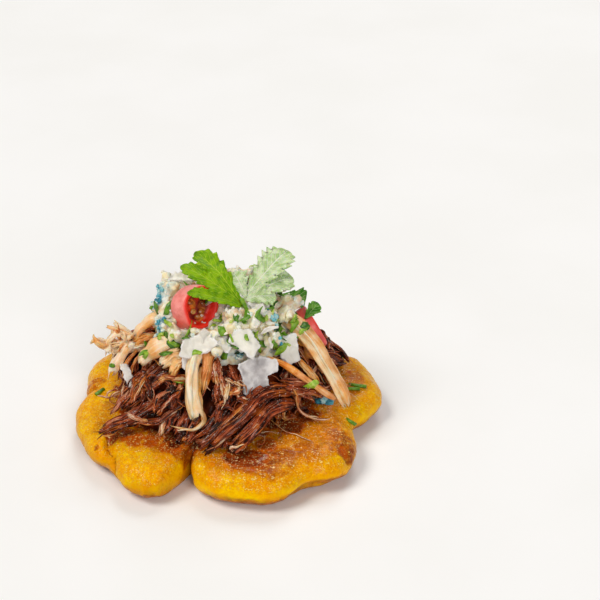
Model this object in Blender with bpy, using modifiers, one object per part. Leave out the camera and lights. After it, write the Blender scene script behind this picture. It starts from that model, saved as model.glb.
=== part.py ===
"""One topped tostone: a twice-fried plantain disc that carries a heap of pulled beef, a layer of pulled
chicken, a cap of crumbled cheese, cheese shavings, two chilli slices and a parsley sprig.

Metres, +Z up. The origin is on the table, under the middle of the disc, and the front of the food
faces -Y. Points and sizes that are listed in millimetres pass through mm().
"""
import math

import bmesh
import bpy
from mathutils import Matrix, Vector, noise

MM = 0.001

# Plantain disc
DISC_RADIUS = 42.4 * MM
DISC_HEIGHT = 10.0 * MM
DISC_EDGE = 7.0 * MM          # how far in from the outline the rounded rim reaches
DISC_COLUMNS = 84
DISC_RIM_ROWS = 4             # rows of faces from the rim's middle to the flat top, and to the base
DISC_FLAT_ROWS = 2            # rings of points inside the rim, besides the centre point
DISC_TURN = 2.7               # degrees; puts one column on the deepest split
SEAT_RADIUS = 31.0 * MM       # the top is level out to here, under the heap
DIMPLE = 0.7 * MM             # how far the top dips, outside the seat

# Splits in the rim: azimuth, depth in mm, spread before and after it in degrees, sharpness.
SPLITS = (
    (247.0, 10.8, 3.0, 14.0, 1.0),
    (340.0, 5.6, 12.0, 9.0, 1.8),
    (218.0, 1.6, 6.0, 5.0, 1.6),
    (172.0, 2.2, 10.0, 8.0, 2.0),
    (128.0, 4.5, 5.0, 9.0, 1.2),
    (82.0, 6.0, 9.0, 4.0, 1.1),
    (38.0, 3.0, 8.0, 8.0, 2.0),
    (299.0, 1.2, 6.0, 6.0, 2.0),
)
# Swellings of the rim: azimuth, height in mm, spread in degrees.
SWELLINGS = ((234.0, 1.2, 9.0), (285.0, 1.2, 8.0), (314.0, 1.8, 9.0), (8.0, 1.2, 14.0), (148.0, 1.4, 12.0),
             (60.0, 1.6, 10.0), (104.0, 1.2, 9.0))
# Creases in the top, from the splits inwards: two plan points in mm, width and depth in mm.
CREASES = (
    ((-8.0, -27.0), (-12.5, -36.0), 1.6, 1.8),
    ((-31.0, -20.0), (-31.5, -33.0), 1.8, 1.6),
    ((33.0, -12.0), (36.5, -13.5), 2.4, 1.6),
    ((4.5, 33.0), (6.0, 39.0), 2.0, 1.8),
    ((-22.0, 26.0), (-26.0, 32.0), 2.0, 1.6),
)

# What stands on the disc
GAP = 0.3 * MM                # kept between pieces that touch
SEAT = DISC_HEIGHT + GAP
BEEF_CENTRE = (-1.0, 2.0)
BEEF_REACH = (31.0, 27.0)
BEEF_TOP = 27.5 * MM
CHICKEN_CENTRE = (-0.5, 4.5)
CHICKEN_REACH = (22.0, 18.5)
CHICKEN_BASE = 23.0 * MM
CHICKEN_TOP = 28.6 * MM
CHEESE_CENTRE = (0.2, 6.5)
CHEESE_REACH = (21.0, 17.2)
CHEESE_BASE = 24.2 * MM
CHEESE_TOP = 38.0 * MM
SHAVING_THICKNESS = 1.0 * MM

CHILLI_RADIUS = 6.5 * MM
CHILLI_WALL = 1.7 * MM
CHILLI_STEPS = 20
LEAF_THICKNESS = 0.5 * MM
STEM_RADIUS = 0.75 * MM

# Strands: name, points in mm, strands side by side, strand radius in mm, spacing in mm.
BEEF_STRANDS = (
    ("front", ((18.4, -12.4, 18.6), (11.4, -15.3, 20.2), (4.6, -19.0, 19.3), (-1.6, -22.4, 16.0),
               (-6.8, -25.8, 12.0)), 3, 1.25, 1.7),
    ("front_low", ((19.5, -13.2, 17.5), (13.4, -17.2, 17.4), (7.9, -21.0, 15.6), (3.0, -24.0, 13.0),
                   (-0.8, -27.0, 11.6)), 2, 1.15, 1.7),
    ("right", ((13.5, -12.5, 20.0), (19.6, -11.4, 18.6), (23.7, -9.8, 15.8), (26.5, -9.2, 12.6)),
     2, 1.2, 1.6),
    ("left_high", ((-14.0, -7.0, 23.4), (-20.0, -9.4, 20.4), (-23.9, -9.9, 17.6), (-28.8, -8.4, 13.0)),
     2, 1.2, 1.7),
    ("left_low", ((-14.5, -15.4, 17.0), (-20.7, -16.5, 14.4), (-26.4, -16.0, 12.4), (-33.4, -17.3, 11.8)),
     2, 1.2, 1.7),
    ("left_front", ((-8.5, -16.4, 19.4), (-14.7, -18.2, 16.9), (-19.5, -19.2, 13.6),
                    (-24.5, -21.0, 11.8)), 2, 1.1, 1.6),
    ("curl", ((-9.0, -13.4, 21.4), (-14.6, -13.0, 21.2), (-18.2, -12.6, 20.0), (-19.6, -14.4, 17.6)),
     1, 1.5, 0.0),
    ("middle", ((-1.2, -12.5, 23.6), (-0.5, -15.9, 21.8), (-0.6, -19.4, 19.4)), 2, 1.2, 1.7),
    ("left_arch", ((-18.5, -2.0, 22.4), (-21.9, -5.6, 20.8), (-23.0, -10.0, 18.0)), 1, 1.4, 0.0),
    ("left_back", ((-20.5, 9.0, 19.6), (-26.6, 5.0, 18.6), (-27.4, 0.5, 17.6), (-25.4, -5.0, 17.0)),
     2, 1.3, 1.8),
    ("right_back", ((21.0, 17.5, 15.6), (27.2, 16.6, 13.2), (31.0, 12.8, 12.0), (33.2, 7.0, 11.8)),
     2, 1.3, 1.8),
    ("right_side", ((19.0, 4.0, 20.4), (25.5, 2.0, 16.4), (30.6, 1.0, 12.0)), 2, 1.2, 1.7),
)
CHICKEN_STRANDS = (
    ("left_tuft", ((-18.0, 1.6, 25.6), (-21.6, 1.4, 27.0), (-26.5, 2.4, 26.6), (-33.3, 3.6, 24.8)),
     3, 1.15, 1.5),
    ("left_tuft_high", ((-18.4, 5.0, 25.6), (-24.0, 4.8, 27.8), (-30.2, 6.6, 28.4)), 1, 1.1, 0.0),
    ("left_curve", ((-17.0, 4.2, 31.8), (-20.6, 4.0, 30.6), (-22.6, 3.8, 28.6), (-23.8, 3.6, 26.6)),
     1, 1.3, 0.0),
    ("left_hanging", ((-25.0, 2.0, 26.2), (-29.2, 1.0, 23.4), (-31.4, -0.2, 20.8), (-32.6, -1.0, 18.6)),
     1, 1.2, 0.0),
    ("left_fan", ((-12.8, -4.6, 27.0), (-15.2, -4.8, 28.0), (-18.4, -3.8, 26.4), (-21.8, -1.2, 22.6)),
     3, 1.2, 1.6),
    ("front_fan", ((-10.6, -6.4, 25.6), (-13.6, -7.6, 26.4), (-14.8, -9.2, 24.2)), 2, 1.1, 1.5),
    ("front_hanging", ((-4.6, -9.0, 25.6), (-6.0, -11.4, 26.6), (-8.0, -16.6, 22.4), (-8.6, -21.4, 18.0)),
     2, 1.2, 1.7),
    ("right_long", ((15.4, 3.4, 30.8), (18.2, 3.4, 31.0), (21.5, 2.0, 26.4), (25.7, -1.0, 20.0),
                    (29.6, -5.0, 14.3), (31.4, -8.6, 11.9)), 3, 1.3, 1.7),
    ("right_thin", ((11.0, -7.8, 25.2), (14.8, -8.8, 24.4), (20.8, -9.8, 20.4), (25.6, -9.2, 16.0),
                    (28.6, -7.4, 13.2)), 1, 1.0, 0.0),
)
# Strands round the back: azimuth, start and end as shares of the heap's reach, swing in degrees.
BEEF_BACK = ((42.0, 0.55, 1.02, 24.0), (66.0, 0.50, 1.08, -20.0), (92.0, 0.55, 1.04, 22.0),
             (118.0, 0.50, 1.10, -22.0), (142.0, 0.55, 1.05, 20.0), (164.0, 0.55, 1.06, -16.0))
CHICKEN_BACK = ((28.0, 1.30, 14.0), (70.0, 1.22, -14.0), (108.0, 1.34, 12.0), (146.0, 1.25, -10.0))
BACK_RADIUS = 1.3

# Crumbs that stand out of the cheese: place and radius in mm.
CRUMBS = (
    (-16.4, 8.6, 37.2, 2.8), (-18.6, 6.4, 35.6, 2.6), (-12.6, 12.6, 37.0, 2.8), (-19.2, 3.2, 32.6, 2.4),
    (-18.0, -1.8, 30.0, 2.4), (-2.4, -10.2, 30.2, 2.8), (12.0, -6.4, 30.6, 2.8), (17.0, 5.6, 34.8, 3.0),
    (-4.4, 14.6, 37.0, 2.8), (5.4, 13.4, 37.4, 3.0), (13.0, 12.6, 36.0, 3.0), (-15.6, 15.4, 31.6, 2.8),
    (3.6, 22.6, 30.2, 2.6), (-7.4, 22.0, 30.4, 2.8), (18.4, 0.8, 28.4, 2.4),
)

# Shavings: name, outline in mm, middle in mm, lean back and turn in degrees.
SHAVINGS = (
    ("shaving_front", ((-5.0, 3.0), (-3.4, -5.4), (3.4, -4.0), (2.6, -0.4), (5.4, 0.8), (5.3, 3.9),
                       (-0.8, 5.0)), (8.2, -13.2, 24.2), 52.0, 0.0),
    ("shaving_left", ((-5.2, -2.8), (-4.0, 1.6), (1.4, 3.8), (5.8, 0.6), (2.4, -1.4), (-1.8, -3.0)),
     (-7.2, -9.6, 31.4), 48.0, -4.0),
    ("shaving_middle", ((-4.6, 1.2), (-2.0, 4.2), (1.4, 4.0), (3.8, -0.8), (1.6, -4.2), (-1.6, -1.4)),
     (5.2, -10.6, 32.4), 56.0, 6.0),
    ("shaving_right", ((-2.6, 3.6), (2.8, 4.0), (3.0, -3.4), (-0.6, -4.0), (-2.4, -1.6)),
     (16.8, -6.6, 27.2), 60.0, 22.0),
    ("shaving_low_left", ((-2.4, 3.0), (-0.4, 3.4), (2.4, -3.0), (-0.2, -3.2)),
     (-27.2, -4.4, 20.6), 42.0, -20.0),
    ("shaving_top_left", ((-4.8, -1.0), (-3.6, 1.4), (2.6, 1.8), (4.8, 0.2), (3.2, -1.6)),
     (-10.6, 13.0, 40.2), 24.0, 6.0),
    ("shaving_top_right", ((-3.0, 1.8), (2.4, 2.6), (3.4, -1.8), (-1.8, -2.6)),
     (15.2, 9.6, 38.4), 36.0, 24.0),
    ("shaving_back", ((-4.4, 2.4), (1.0, 3.4), (4.6, 1.0), (3.0, -3.0), (-2.6, -2.6)),
     (5.6, 22.8, 34.0), -48.0, 12.0),
    ("shaving_back_left", ((-3.6, 2.6), (2.8, 2.2), (3.4, -2.6), (-1.0, -3.4)),
     (-14.6, 19.6, 33.4), -40.0, -34.0),
)

# Chilli slices: name, middle in mm, direction of the axis, length in mm.
CHILLIES = (
    ("chilli_ring", (-7.4, 4.0, 35.6), (0.78, -0.51, 0.36), 5.3),
    ("chilli_slice", (24.2, 7.0, 27.0), (0.83, 0.32, 0.45), 2.8),
)

# Leaflets of the sprig: foot and tip in mm, width in mm, direction that the face looks in.
SPRIG_JOINT = (4.6, 2.6, 39.9)
SPRIG_FOOT = (6.4, 0.0, 33.0)
LEAFLETS = (
    ((4.2, 3.2, 40.8), (-7.0, 14.2, 48.4), 9.6, (0.2, -0.5, 0.85)),
    ((3.0, 3.2, 41.2), (-10.6, 9.4, 46.0), 8.4, (0.2, -0.5, 0.85)),
    ((4.4, 1.8, 40.9), (-8.5, -2.0, 44.4), 5.0, (0.2, -0.4, 0.9)),
    ((5.0, 3.2, 40.6), (19.0, 13.6, 46.4), 10.4, (-0.2, -0.5, 0.85)),
    ((5.4, 2.8, 40.4), (19.0, 8.4, 42.6), 8.0, (-0.2, -0.5, 0.85)),
    ((4.8, 3.4, 40.8), (4.4, 10.8, 44.6), 6.4, (0.0, -0.5, 0.85)),
    ((5.2, 2.4, 40.4), (14.2, 4.0, 40.6), 5.0, (-0.1, -0.4, 0.9)),
)
LEAF_TEETH = 3


def mm(point):
    """A point or offset given in millimetres, in metres."""
    return Vector(point) * MM


def clear_scene():
    for obj in list(bpy.data.objects):
        bpy.data.objects.remove(obj, do_unlink=True)


def new_collection(name):
    group = bpy.data.collections.new(name)
    bpy.context.scene.collection.children.link(group)
    return group


def food_material(name, colour, roughness):
    mat = bpy.data.materials.new(name)
    mat.use_nodes = True
    shader = mat.node_tree.nodes["Principled BSDF"]
    shader.inputs["Base Color"].default_value = (*colour, 1.0)
    shader.inputs["Roughness"].default_value = roughness
    shader.inputs["Metallic"].default_value = 0.0
    mat.diffuse_color = (*colour, 1.0)
    return mat


def object_from_bmesh(name, bm, group):
    mesh = bpy.data.meshes.new(name)
    bmesh.ops.recalc_face_normals(bm, faces=bm.faces)
    bm.to_mesh(mesh)
    bm.free()
    obj = bpy.data.objects.new(name, mesh)
    group.objects.link(obj)
    return obj


def object_from_curve(curve_obj, group):
    """Turns a curve into a closed mesh object in the same place, and removes the curve."""
    bpy.context.view_layer.update()
    evaluated = curve_obj.evaluated_get(bpy.context.evaluated_depsgraph_get())
    mesh = bpy.data.meshes.new_from_object(evaluated)
    mesh.transform(curve_obj.matrix_world)
    bm = bmesh.new()
    bm.from_mesh(mesh)
    bpy.data.meshes.remove(mesh)
    bmesh.ops.remove_doubles(bm, verts=bm.verts, dist=0.002 * MM)
    name = curve_obj.name
    bpy.data.objects.remove(curve_obj, do_unlink=True)
    return object_from_bmesh(name, bm, group)


def body_of(face, seen):
    """All faces joined to this one through edges that two faces share."""
    body = []
    pending = [face]
    seen.add(face)
    while pending:
        current = pending.pop()
        body.append(current)
        for edge in current.edges:
            if len(edge.link_faces) != 2:
                continue
            for neighbour in edge.link_faces:
                if neighbour not in seen:
                    seen.add(neighbour)
                    pending.append(neighbour)
    return body


def keep_largest_body(bm):
    """Deletes the scraps that a cut leaves beside the main body."""
    seen = set()
    bodies = [body_of(face, seen) for face in bm.faces if face not in seen]
    bodies.sort(key=len)
    for scrap in bodies[:-1]:
        bmesh.ops.delete(bm, geom=scrap, context="FACES")


def fuse(base, added, cutters):
    """Joins the added meshes to the base, cuts the cutters out of it and makes the result its mesh."""
    for operation, operands in (("UNION", added), ("DIFFERENCE", cutters)):
        if not operands:
            continue
        group = bpy.data.collections.new(base.name + "_" + operation.lower())
        for operand in operands:
            group.objects.link(operand)
        boolean = base.modifiers.new(operation.title(), "BOOLEAN")
        boolean.operation = operation
        boolean.operand_type = "COLLECTION"
        boolean.collection = group
        boolean.solver = "EXACT"
        boolean.use_self = operation == "UNION"
    bpy.context.view_layer.update()
    evaluated = base.evaluated_get(bpy.context.evaluated_depsgraph_get())
    bm = bmesh.new()
    bm.from_mesh(evaluated.to_mesh())
    evaluated.to_mesh_clear()
    keep_largest_body(bm)
    base.modifiers.clear()
    bm.to_mesh(base.data)
    bm.free()
    for operand in added:
        bpy.data.objects.remove(operand, do_unlink=True)
    return base


def spread(angle, centre, before, after, sharpness):
    """Falls from 1 at the centre to 0 round it; the angles are in degrees."""
    away = (angle - centre + 180.0) % 360.0 - 180.0
    width = before if away < 0 else after
    return math.exp(-((abs(away) / width) ** sharpness))


def disc_outline(azimuth):
    """The disc's radius at an azimuth in degrees: torn splits and swollen lobes round the rim."""
    radius = DISC_RADIUS
    for centre, depth, before, after, sharpness in SPLITS:
        radius -= depth * MM * spread(azimuth, centre, before, after, sharpness)
    for centre, height, width in SWELLINGS:
        radius += height * MM * spread(azimuth, centre, width, width, 2.0)
    return radius


def crease_depth(x, y):
    depth = 0.0
    for start, end, width, deepest in CREASES:
        a, b = mm((*start, 0.0)), mm((*end, 0.0))
        along = b - a
        here = Vector((x, y, 0.0)) - a
        share = max(0.0, min(1.0, here.dot(along) / along.length_squared))
        away = (here - along * share).length
        depth += deepest * MM * math.exp(-((away / (width * MM)) ** 2))
    return depth


def disc_point(direction):
    """Moves a point of a unit sphere to the disc's surface, row by row."""
    azimuth = (math.degrees(math.atan2(direction.y, direction.x)) + DISC_TURN) % 360.0
    rows = 2 * (DISC_RIM_ROWS + DISC_FLAT_ROWS) + 2
    row = round(math.asin(max(-1.0, min(1.0, direction.z))) / (math.pi / rows))
    edge_radius = disc_outline(azimuth)
    half = DISC_HEIGHT / 2
    if abs(row) <= DISC_RIM_ROWS:
        turn = row / DISC_RIM_ROWS * math.pi / 2
        radius = edge_radius - DISC_EDGE * (1.0 - math.cos(turn))
        height = half + half * math.sin(turn)
    else:
        inner = 1.0 - (abs(row) - DISC_RIM_ROWS) / (DISC_FLAT_ROWS + 1)
        radius = (edge_radius - DISC_EDGE) * inner
        height = DISC_HEIGHT if row > 0 else 0.0
    x = radius * math.cos(math.radians(azimuth))
    y = radius * math.sin(math.radians(azimuth))
    if height > half:
        outside = max(0.0, min(1.0, (radius - SEAT_RADIUS) / (4.0 * MM)))
        bumps = 0.5 + 0.5 * noise.noise(Vector((x, y, 0.0)) / (9.0 * MM))
        height -= outside * DIMPLE * bumps + crease_depth(x, y) * min(1.0, (height - half) / half)
    return Vector((x, y, height))


def make_plantain(group):
    bm = bmesh.new()
    rows = 2 * (DISC_RIM_ROWS + DISC_FLAT_ROWS) + 2
    bmesh.ops.create_uvsphere(bm, u_segments=DISC_COLUMNS, v_segments=rows, radius=1.0)
    for vert in bm.verts:
        vert.co = disc_point(vert.co)
    return object_from_bmesh("plantain", bm, group)


def make_mound(name, centre, reach, base, top, group, columns, rows, profile, lumps, lump_size, grow=0.0):
    """A heap with a level underside: a sphere pressed flat below and drawn out to an uneven outline.

    The profile is two exponents: a higher first one makes the top broader, a lower second one the
    sides steeper.
    """
    breadth, steepness = profile
    bm = bmesh.new()
    bmesh.ops.create_uvsphere(bm, u_segments=columns, v_segments=rows, radius=1.0)
    rim = 0.14 * (top - base)
    for vert in bm.verts:
        azimuth = math.atan2(vert.co.y, vert.co.x)
        out = math.hypot(vert.co.x, vert.co.y)
        flat = Vector((math.cos(azimuth), math.sin(azimuth), 0.0))
        wander = 1.0 + 0.06 * lumps * noise.noise(flat * 2.4 + Vector((0.0, 0.0, reach[0])))
        x = (centre[0] + reach[0] * out * wander * flat.x) * MM
        y = (centre[1] + reach[1] * out * wander * flat.y) * MM
        if vert.co.z < -0.01:
            z = base
        else:
            bump = noise.noise(Vector((x, y, top)) / (lump_size * MM))
            up = max(0.0, 1.0 - out ** breadth) ** steepness
            z = base + rim + (top - base - rim) * up + lumps * MM * bump * out * up
        vert.co = Vector((x, y, z))
    if grow:
        bmesh.ops.recalc_face_normals(bm, faces=bm.faces)
        bm.normal_update()
        for vert, normal in [(vert, vert.normal.copy()) for vert in bm.verts]:
            vert.co += normal * grow
    return object_from_bmesh(name, bm, group)


def smooth_path(points, steps):
    """A smooth line through the points, as steps + 1 places (Catmull-Rom)."""
    ends = [points[0] * 2 - points[1], *points, points[-1] * 2 - points[-2]]
    spans = len(points) - 1
    places = []
    for step in range(steps + 1):
        along = step / steps * spans
        index = min(int(along), spans - 1)
        t = along - index
        a, b, c, d = ends[index:index + 4]
        places.append(0.5 * (2 * b + (c - a) * t + (2 * a - 5 * b + 4 * c - d) * t * t
                             + (3 * b - a - 3 * c + d) * t ** 3))
    return places


def make_tube(name, places, radius, group, taper=(0.75, 1.0, 0.6)):
    """A round strand along the places, thinner at its two ends."""
    curve = bpy.data.curves.new(name, "CURVE")
    curve.dimensions = "3D"
    curve.bevel_depth = radius
    curve.bevel_resolution = 1
    curve.use_fill_caps = True
    spline = curve.splines.new("POLY")
    spline.points.add(len(places) - 1)
    first, middle, last = taper
    for index, place in enumerate(places):
        share = index / (len(places) - 1)
        end = first if share < 0.5 else last
        swell = math.sin(math.pi * share) ** 0.6
        spline.points[index].co = (*place, 1.0)
        spline.points[index].radius = end + (middle - end) * swell
    tube = bpy.data.objects.new(name, curve)
    group.objects.link(tube)
    return object_from_curve(tube, group)


def make_strands(name, points, count, radius, spacing, group, grow=0.0):
    """Strands side by side along one path, spread level across it."""
    path = [mm(point) for point in points]
    steps = len(path)
    strands = []
    for index in range(count):
        offset = index - (count - 1) / 2
        places = smooth_path(path, steps)
        moved = []
        for step, place in enumerate(places):
            ahead = places[min(step + 1, steps)] - places[max(step - 1, 0)]
            side = Vector((ahead.y, -ahead.x, 0.0)).normalized()
            fan = 1.0 + 0.25 * step / steps
            drop = Vector((0.0, 0.0, -0.25 * abs(offset) * spacing * MM))
            moved.append(place + side * offset * spacing * MM * fan + drop * (1 - step / steps))
        strands.append(make_tube(f"{name}_{index}", moved, radius * MM + grow, group))
    return strands


def beef_back_points(azimuth, start, end, swing):
    """A strand down the back of the beef heap, from its shoulder to the disc."""
    points = []
    for step in range(4):
        share = step / 3
        out = start + (end - start) * share
        angle = math.radians(azimuth + swing * share)
        rise = max(0.0, 1.0 - min(out, 1.0) ** 2) ** 0.55
        floor = SEAT / MM + BACK_RADIUS + 0.1
        z = max(floor, SEAT / MM + (BEEF_TOP - SEAT) / MM * rise)
        points.append((BEEF_CENTRE[0] + BEEF_REACH[0] * out * math.cos(angle),
                       BEEF_CENTRE[1] + BEEF_REACH[1] * out * math.sin(angle), z))
    return points


def chicken_back_points(azimuth, end, swing):
    """A strand that hangs over the back of the beef from the chicken layer."""
    points = []
    for step in range(4):
        share = step / 3
        out = 0.75 + (end - 0.75) * share
        angle = math.radians(azimuth + swing * share)
        x = CHICKEN_CENTRE[0] + CHICKEN_REACH[0] * out * math.cos(angle)
        y = CHICKEN_CENTRE[1] + CHICKEN_REACH[1] * out * math.sin(angle)
        z = (25.4, 25.6, 23.4, 19.6)[step]
        points.append((x, y, z))
    return points


def make_beef(group, cutters):
    beef = make_mound("pulled_beef", BEEF_CENTRE, BEEF_REACH, SEAT, BEEF_TOP, group, columns=44, rows=10,
                     profile=(2.0, 0.55), lumps=1.2, lump_size=8.0)
    strands = []
    for name, points, count, radius, spacing in BEEF_STRANDS:
        strands += make_strands("beef_" + name, points, count, radius, spacing, group)
    for azimuth, start, end, swing in BEEF_BACK:
        points = beef_back_points(azimuth, start, end, swing)
        strands += make_strands(f"beef_back_{azimuth:.0f}", points, 2, BACK_RADIUS, 1.8, group)
    return fuse(beef, strands, cutters)


def make_chicken(name, group, cutters=(), grow=0.0):
    """The chicken layer with its strands; grown by the gap, it cuts room for itself in its neighbours."""
    layer = make_mound(name, CHICKEN_CENTRE, CHICKEN_REACH, CHICKEN_BASE, CHICKEN_TOP, group,
                       columns=30, rows=6, profile=(2.0, 0.55), lumps=0.5, lump_size=7.0, grow=grow)
    strands = []
    for strand, points, count, radius, spacing in CHICKEN_STRANDS:
        strands += make_strands(f"{name}_{strand}", points, count, radius, spacing, group, grow)
    for azimuth, end, swing in CHICKEN_BACK:
        points = chicken_back_points(azimuth, end, swing)
        strands += make_strands(f"{name}_back_{azimuth:.0f}", points, 2, 1.15, 1.6, group, grow)
    return fuse(layer, strands, list(cutters))


def make_cheese(group, cutters):
    cheese = make_mound("crumbled_cheese", CHEESE_CENTRE, CHEESE_REACH, CHEESE_BASE, CHEESE_TOP, group,
                        columns=36, rows=10, profile=(4.0, 0.5), lumps=1.4, lump_size=5.0)
    crumbs = []
    for index, (x, y, z, radius) in enumerate(CRUMBS):
        bm = bmesh.new()
        bmesh.ops.create_icosphere(bm, subdivisions=1, radius=radius * MM)
        for vert in bm.verts:
            vert.co *= 1.0 + 0.25 * noise.noise(vert.co / (2.0 * MM) + Vector((x, y, z)))
        bmesh.ops.rotate(bm, cent=(0, 0, 0), matrix=Matrix.Rotation(index, 3, "Z"), verts=bm.verts)
        bmesh.ops.translate(bm, vec=mm((x, y, z)), verts=bm.verts)
        crumbs.append(object_from_bmesh(f"crumb_{index}", bm, group))
    return fuse(cheese, crumbs, cutters)


def make_plate(name, outline, thickness, matrix, group, grow=0.0):
    """A flat piece: a filled outline in its own plane, given its thickness, then put in place."""
    curve = bpy.data.curves.new(name, "CURVE")
    curve.dimensions = "2D"
    curve.fill_mode = "BOTH"
    curve.extrude = thickness / 2 + grow
    curve.offset = grow
    spline = curve.splines.new("POLY")
    spline.use_cyclic_u = True
    spline.points.add(len(outline) - 1)
    for index, (x, y) in enumerate(outline):
        spline.points[index].co = (x, y, 0.0, 1.0)
    plate = bpy.data.objects.new(name, curve)
    group.objects.link(plate)
    plate.matrix_world = matrix
    return object_from_curve(plate, group)


def make_shavings(group, grow=0.0):
    prefix = "room_for_" if grow else ""
    shavings = []
    for name, outline, middle, lean, turn in SHAVINGS:
        matrix = (Matrix.Translation(mm(middle)) @ Matrix.Rotation(math.radians(turn), 4, "Z")
                  @ Matrix.Rotation(math.radians(lean), 4, "X"))
        corners = [(x * MM, y * MM) for x, y in outline]
        shavings.append(make_plate(prefix + name, corners, SHAVING_THICKNESS, matrix, group, grow))
    return shavings


def make_chilli(name, middle, axis, length, group, grow=0.0):
    """A slice of a round chilli: a turned wall round a sunken web that carries the seeds."""
    outer = CHILLI_RADIUS + grow
    inner = CHILLI_RADIUS - CHILLI_WALL
    end = length * MM / 2 + grow
    web = end if grow else end * 0.55
    lip = 0.35 * MM
    profile = [(0.0, web)]
    if not grow:
        profile += [(inner, web), (inner, end)]
    profile += [(outer - lip, end), (outer, end - lip), (outer, lip - end), (outer - lip, -end)]
    if not grow:
        profile += [(inner, -end), (inner, -web)]
    profile += [(0.0, -web)]
    bm = bmesh.new()
    verts = [bm.verts.new((x, 0.0, z)) for x, z in profile]
    for first, second in zip(verts, verts[1:]):
        bm.edges.new((first, second))
    mesh = bpy.data.meshes.new(name)
    bm.to_mesh(mesh)
    bm.free()
    turned = bpy.data.objects.new(name, mesh)
    group.objects.link(turned)
    screw = turned.modifiers.new("Turn", "SCREW")
    screw.steps = CHILLI_STEPS
    screw.render_steps = CHILLI_STEPS
    screw.use_merge_vertices = True
    screw.merge_threshold = 0.01 * MM
    turned.matrix_world = (Matrix.Translation(mm(middle))
                           @ Vector(axis).to_track_quat("Z", "Y").to_matrix().to_4x4())
    return object_from_curve(turned, group)


def leaflet_outline(length, width):
    """Half a toothed leaf edge out to the tip and the other half back, with the foot at the origin."""
    half = []
    for step in range(1, 2 * LEAF_TEETH):
        share = step / (2 * LEAF_TEETH)
        tooth = 1.0 if step % 2 else 0.80
        half.append((width / 2 * math.sin(math.pi * share ** 0.85) ** 0.7 * tooth,
                     length * (share + (0.03 if step % 2 else 0.0))))
    foot = 0.5 * MM
    return [(foot, 0.0), *half, (0.0, length), *[(-x, y) for x, y in reversed(half)], (-foot, 0.0)]


def make_sprig(name, group, grow=0.0):
    """The stem with its leaflets as one piece."""
    places = smooth_path([mm(SPRIG_FOOT), mm((6.0, 1.0, 37.0)), mm(SPRIG_JOINT), mm((5.0, 3.6, 41.6))], 6)
    stem = make_tube(name, places, STEM_RADIUS + grow, group, taper=(0.9, 1.0, 0.9))
    leaflets = []
    for index, (foot, tip, width, face) in enumerate(LEAFLETS):
        along = (mm(tip) - mm(foot)).normalized()
        across = along.cross(Vector(face)).normalized()
        normal = across.cross(along)
        matrix = Matrix((across, along, normal)).transposed().to_4x4()
        matrix.translation = mm(foot) - along * 0.4 * MM
        outline = leaflet_outline((mm(tip) - mm(foot)).length, width * MM)
        leaflets.append(make_plate(f"{name}_{index}", outline, LEAF_THICKNESS, matrix, group, grow))
    return fuse(stem, leaflets, [])


def dress(obj, mat):
    obj.data.materials.clear()
    obj.data.materials.append(mat)
    obj.data.shade_smooth()
    obj.data.set_sharp_from_angle(angle=math.radians(50.0))


def hide_cutters(group):
    for cutter in group.objects:
        cutter.hide_render = True
        cutter.display_type = "WIRE"


def main():
    clear_scene()
    parts = new_collection("tostone")
    room = new_collection("cutters")

    fried = food_material("fried_plantain", (0.87, 0.47, 0.03), 0.35)
    beef = food_material("braised_beef", (0.16, 0.045, 0.02), 0.4)
    chicken = food_material("pulled_chicken", (0.80, 0.50, 0.28), 0.5)
    cheese = food_material("crumbled_cheese", (0.82, 0.78, 0.64), 0.6)
    shaved = food_material("shaved_cheese", (0.80, 0.80, 0.76), 0.4)
    red = food_material("red_chilli", (0.72, 0.02, 0.015), 0.25)
    green = food_material("green_leaf", (0.16, 0.38, 0.06), 0.5)

    shaving_room = make_shavings(room, GAP)
    chilli_room = [make_chilli("room_for_" + name, middle, axis, length, room, GAP)
                   for name, middle, axis, length in CHILLIES]
    sprig_room = make_sprig("room_for_sprig", room, GAP)
    chicken_room = make_chicken("room_for_chicken", room, grow=GAP)
    trimmings = shaving_room + chilli_room

    dress(make_plantain(parts), fried)
    dress(make_beef(parts, trimmings + [chicken_room]), beef)
    dress(make_chicken("pulled_chicken", parts, trimmings), chicken)
    dress(make_cheese(parts, trimmings + [sprig_room, chicken_room]), cheese)
    for shaving in make_shavings(parts):
        dress(shaving, shaved)
    for name, middle, axis, length in CHILLIES:
        dress(make_chilli(name, middle, axis, length, parts), red)
    dress(make_sprig("parsley_sprig", parts), green)
    hide_cutters(room)


main()
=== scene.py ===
"""A topped tostone in detail: fried plantain under pulled beef, chicken, blue cheese, chilli and parsley."""
from __future__ import annotations

import logging
import math
from dataclasses import dataclass, field
from enum import Enum

import bmesh
import bpy
import numpy as np
from mathutils import Matrix, Vector, noise
from mathutils.bvhtree import BVHTree


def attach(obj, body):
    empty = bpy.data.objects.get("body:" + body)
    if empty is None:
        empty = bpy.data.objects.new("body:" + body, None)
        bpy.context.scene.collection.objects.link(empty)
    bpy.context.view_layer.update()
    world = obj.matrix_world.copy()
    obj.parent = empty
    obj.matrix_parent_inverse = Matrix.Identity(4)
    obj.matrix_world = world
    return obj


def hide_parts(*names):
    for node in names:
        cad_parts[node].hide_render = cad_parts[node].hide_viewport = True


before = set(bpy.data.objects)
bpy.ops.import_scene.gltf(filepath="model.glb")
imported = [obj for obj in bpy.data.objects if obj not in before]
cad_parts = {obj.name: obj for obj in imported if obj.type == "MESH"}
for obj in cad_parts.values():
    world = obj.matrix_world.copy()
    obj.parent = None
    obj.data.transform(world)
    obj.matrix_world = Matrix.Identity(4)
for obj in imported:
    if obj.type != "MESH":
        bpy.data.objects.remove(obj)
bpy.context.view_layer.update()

MM = 0.001
FULL_TURN = 2.0 * math.pi
UP = np.array((0.0, 0.0, 1.0))
LOG = logging.getLogger("topped_tostone")
Array = np.ndarray
Draw = np.random.Generator
Piece = bpy.types.Object
Material = bpy.types.Material
Place = tuple[float, float, float]
Span = tuple[float, float]
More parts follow.
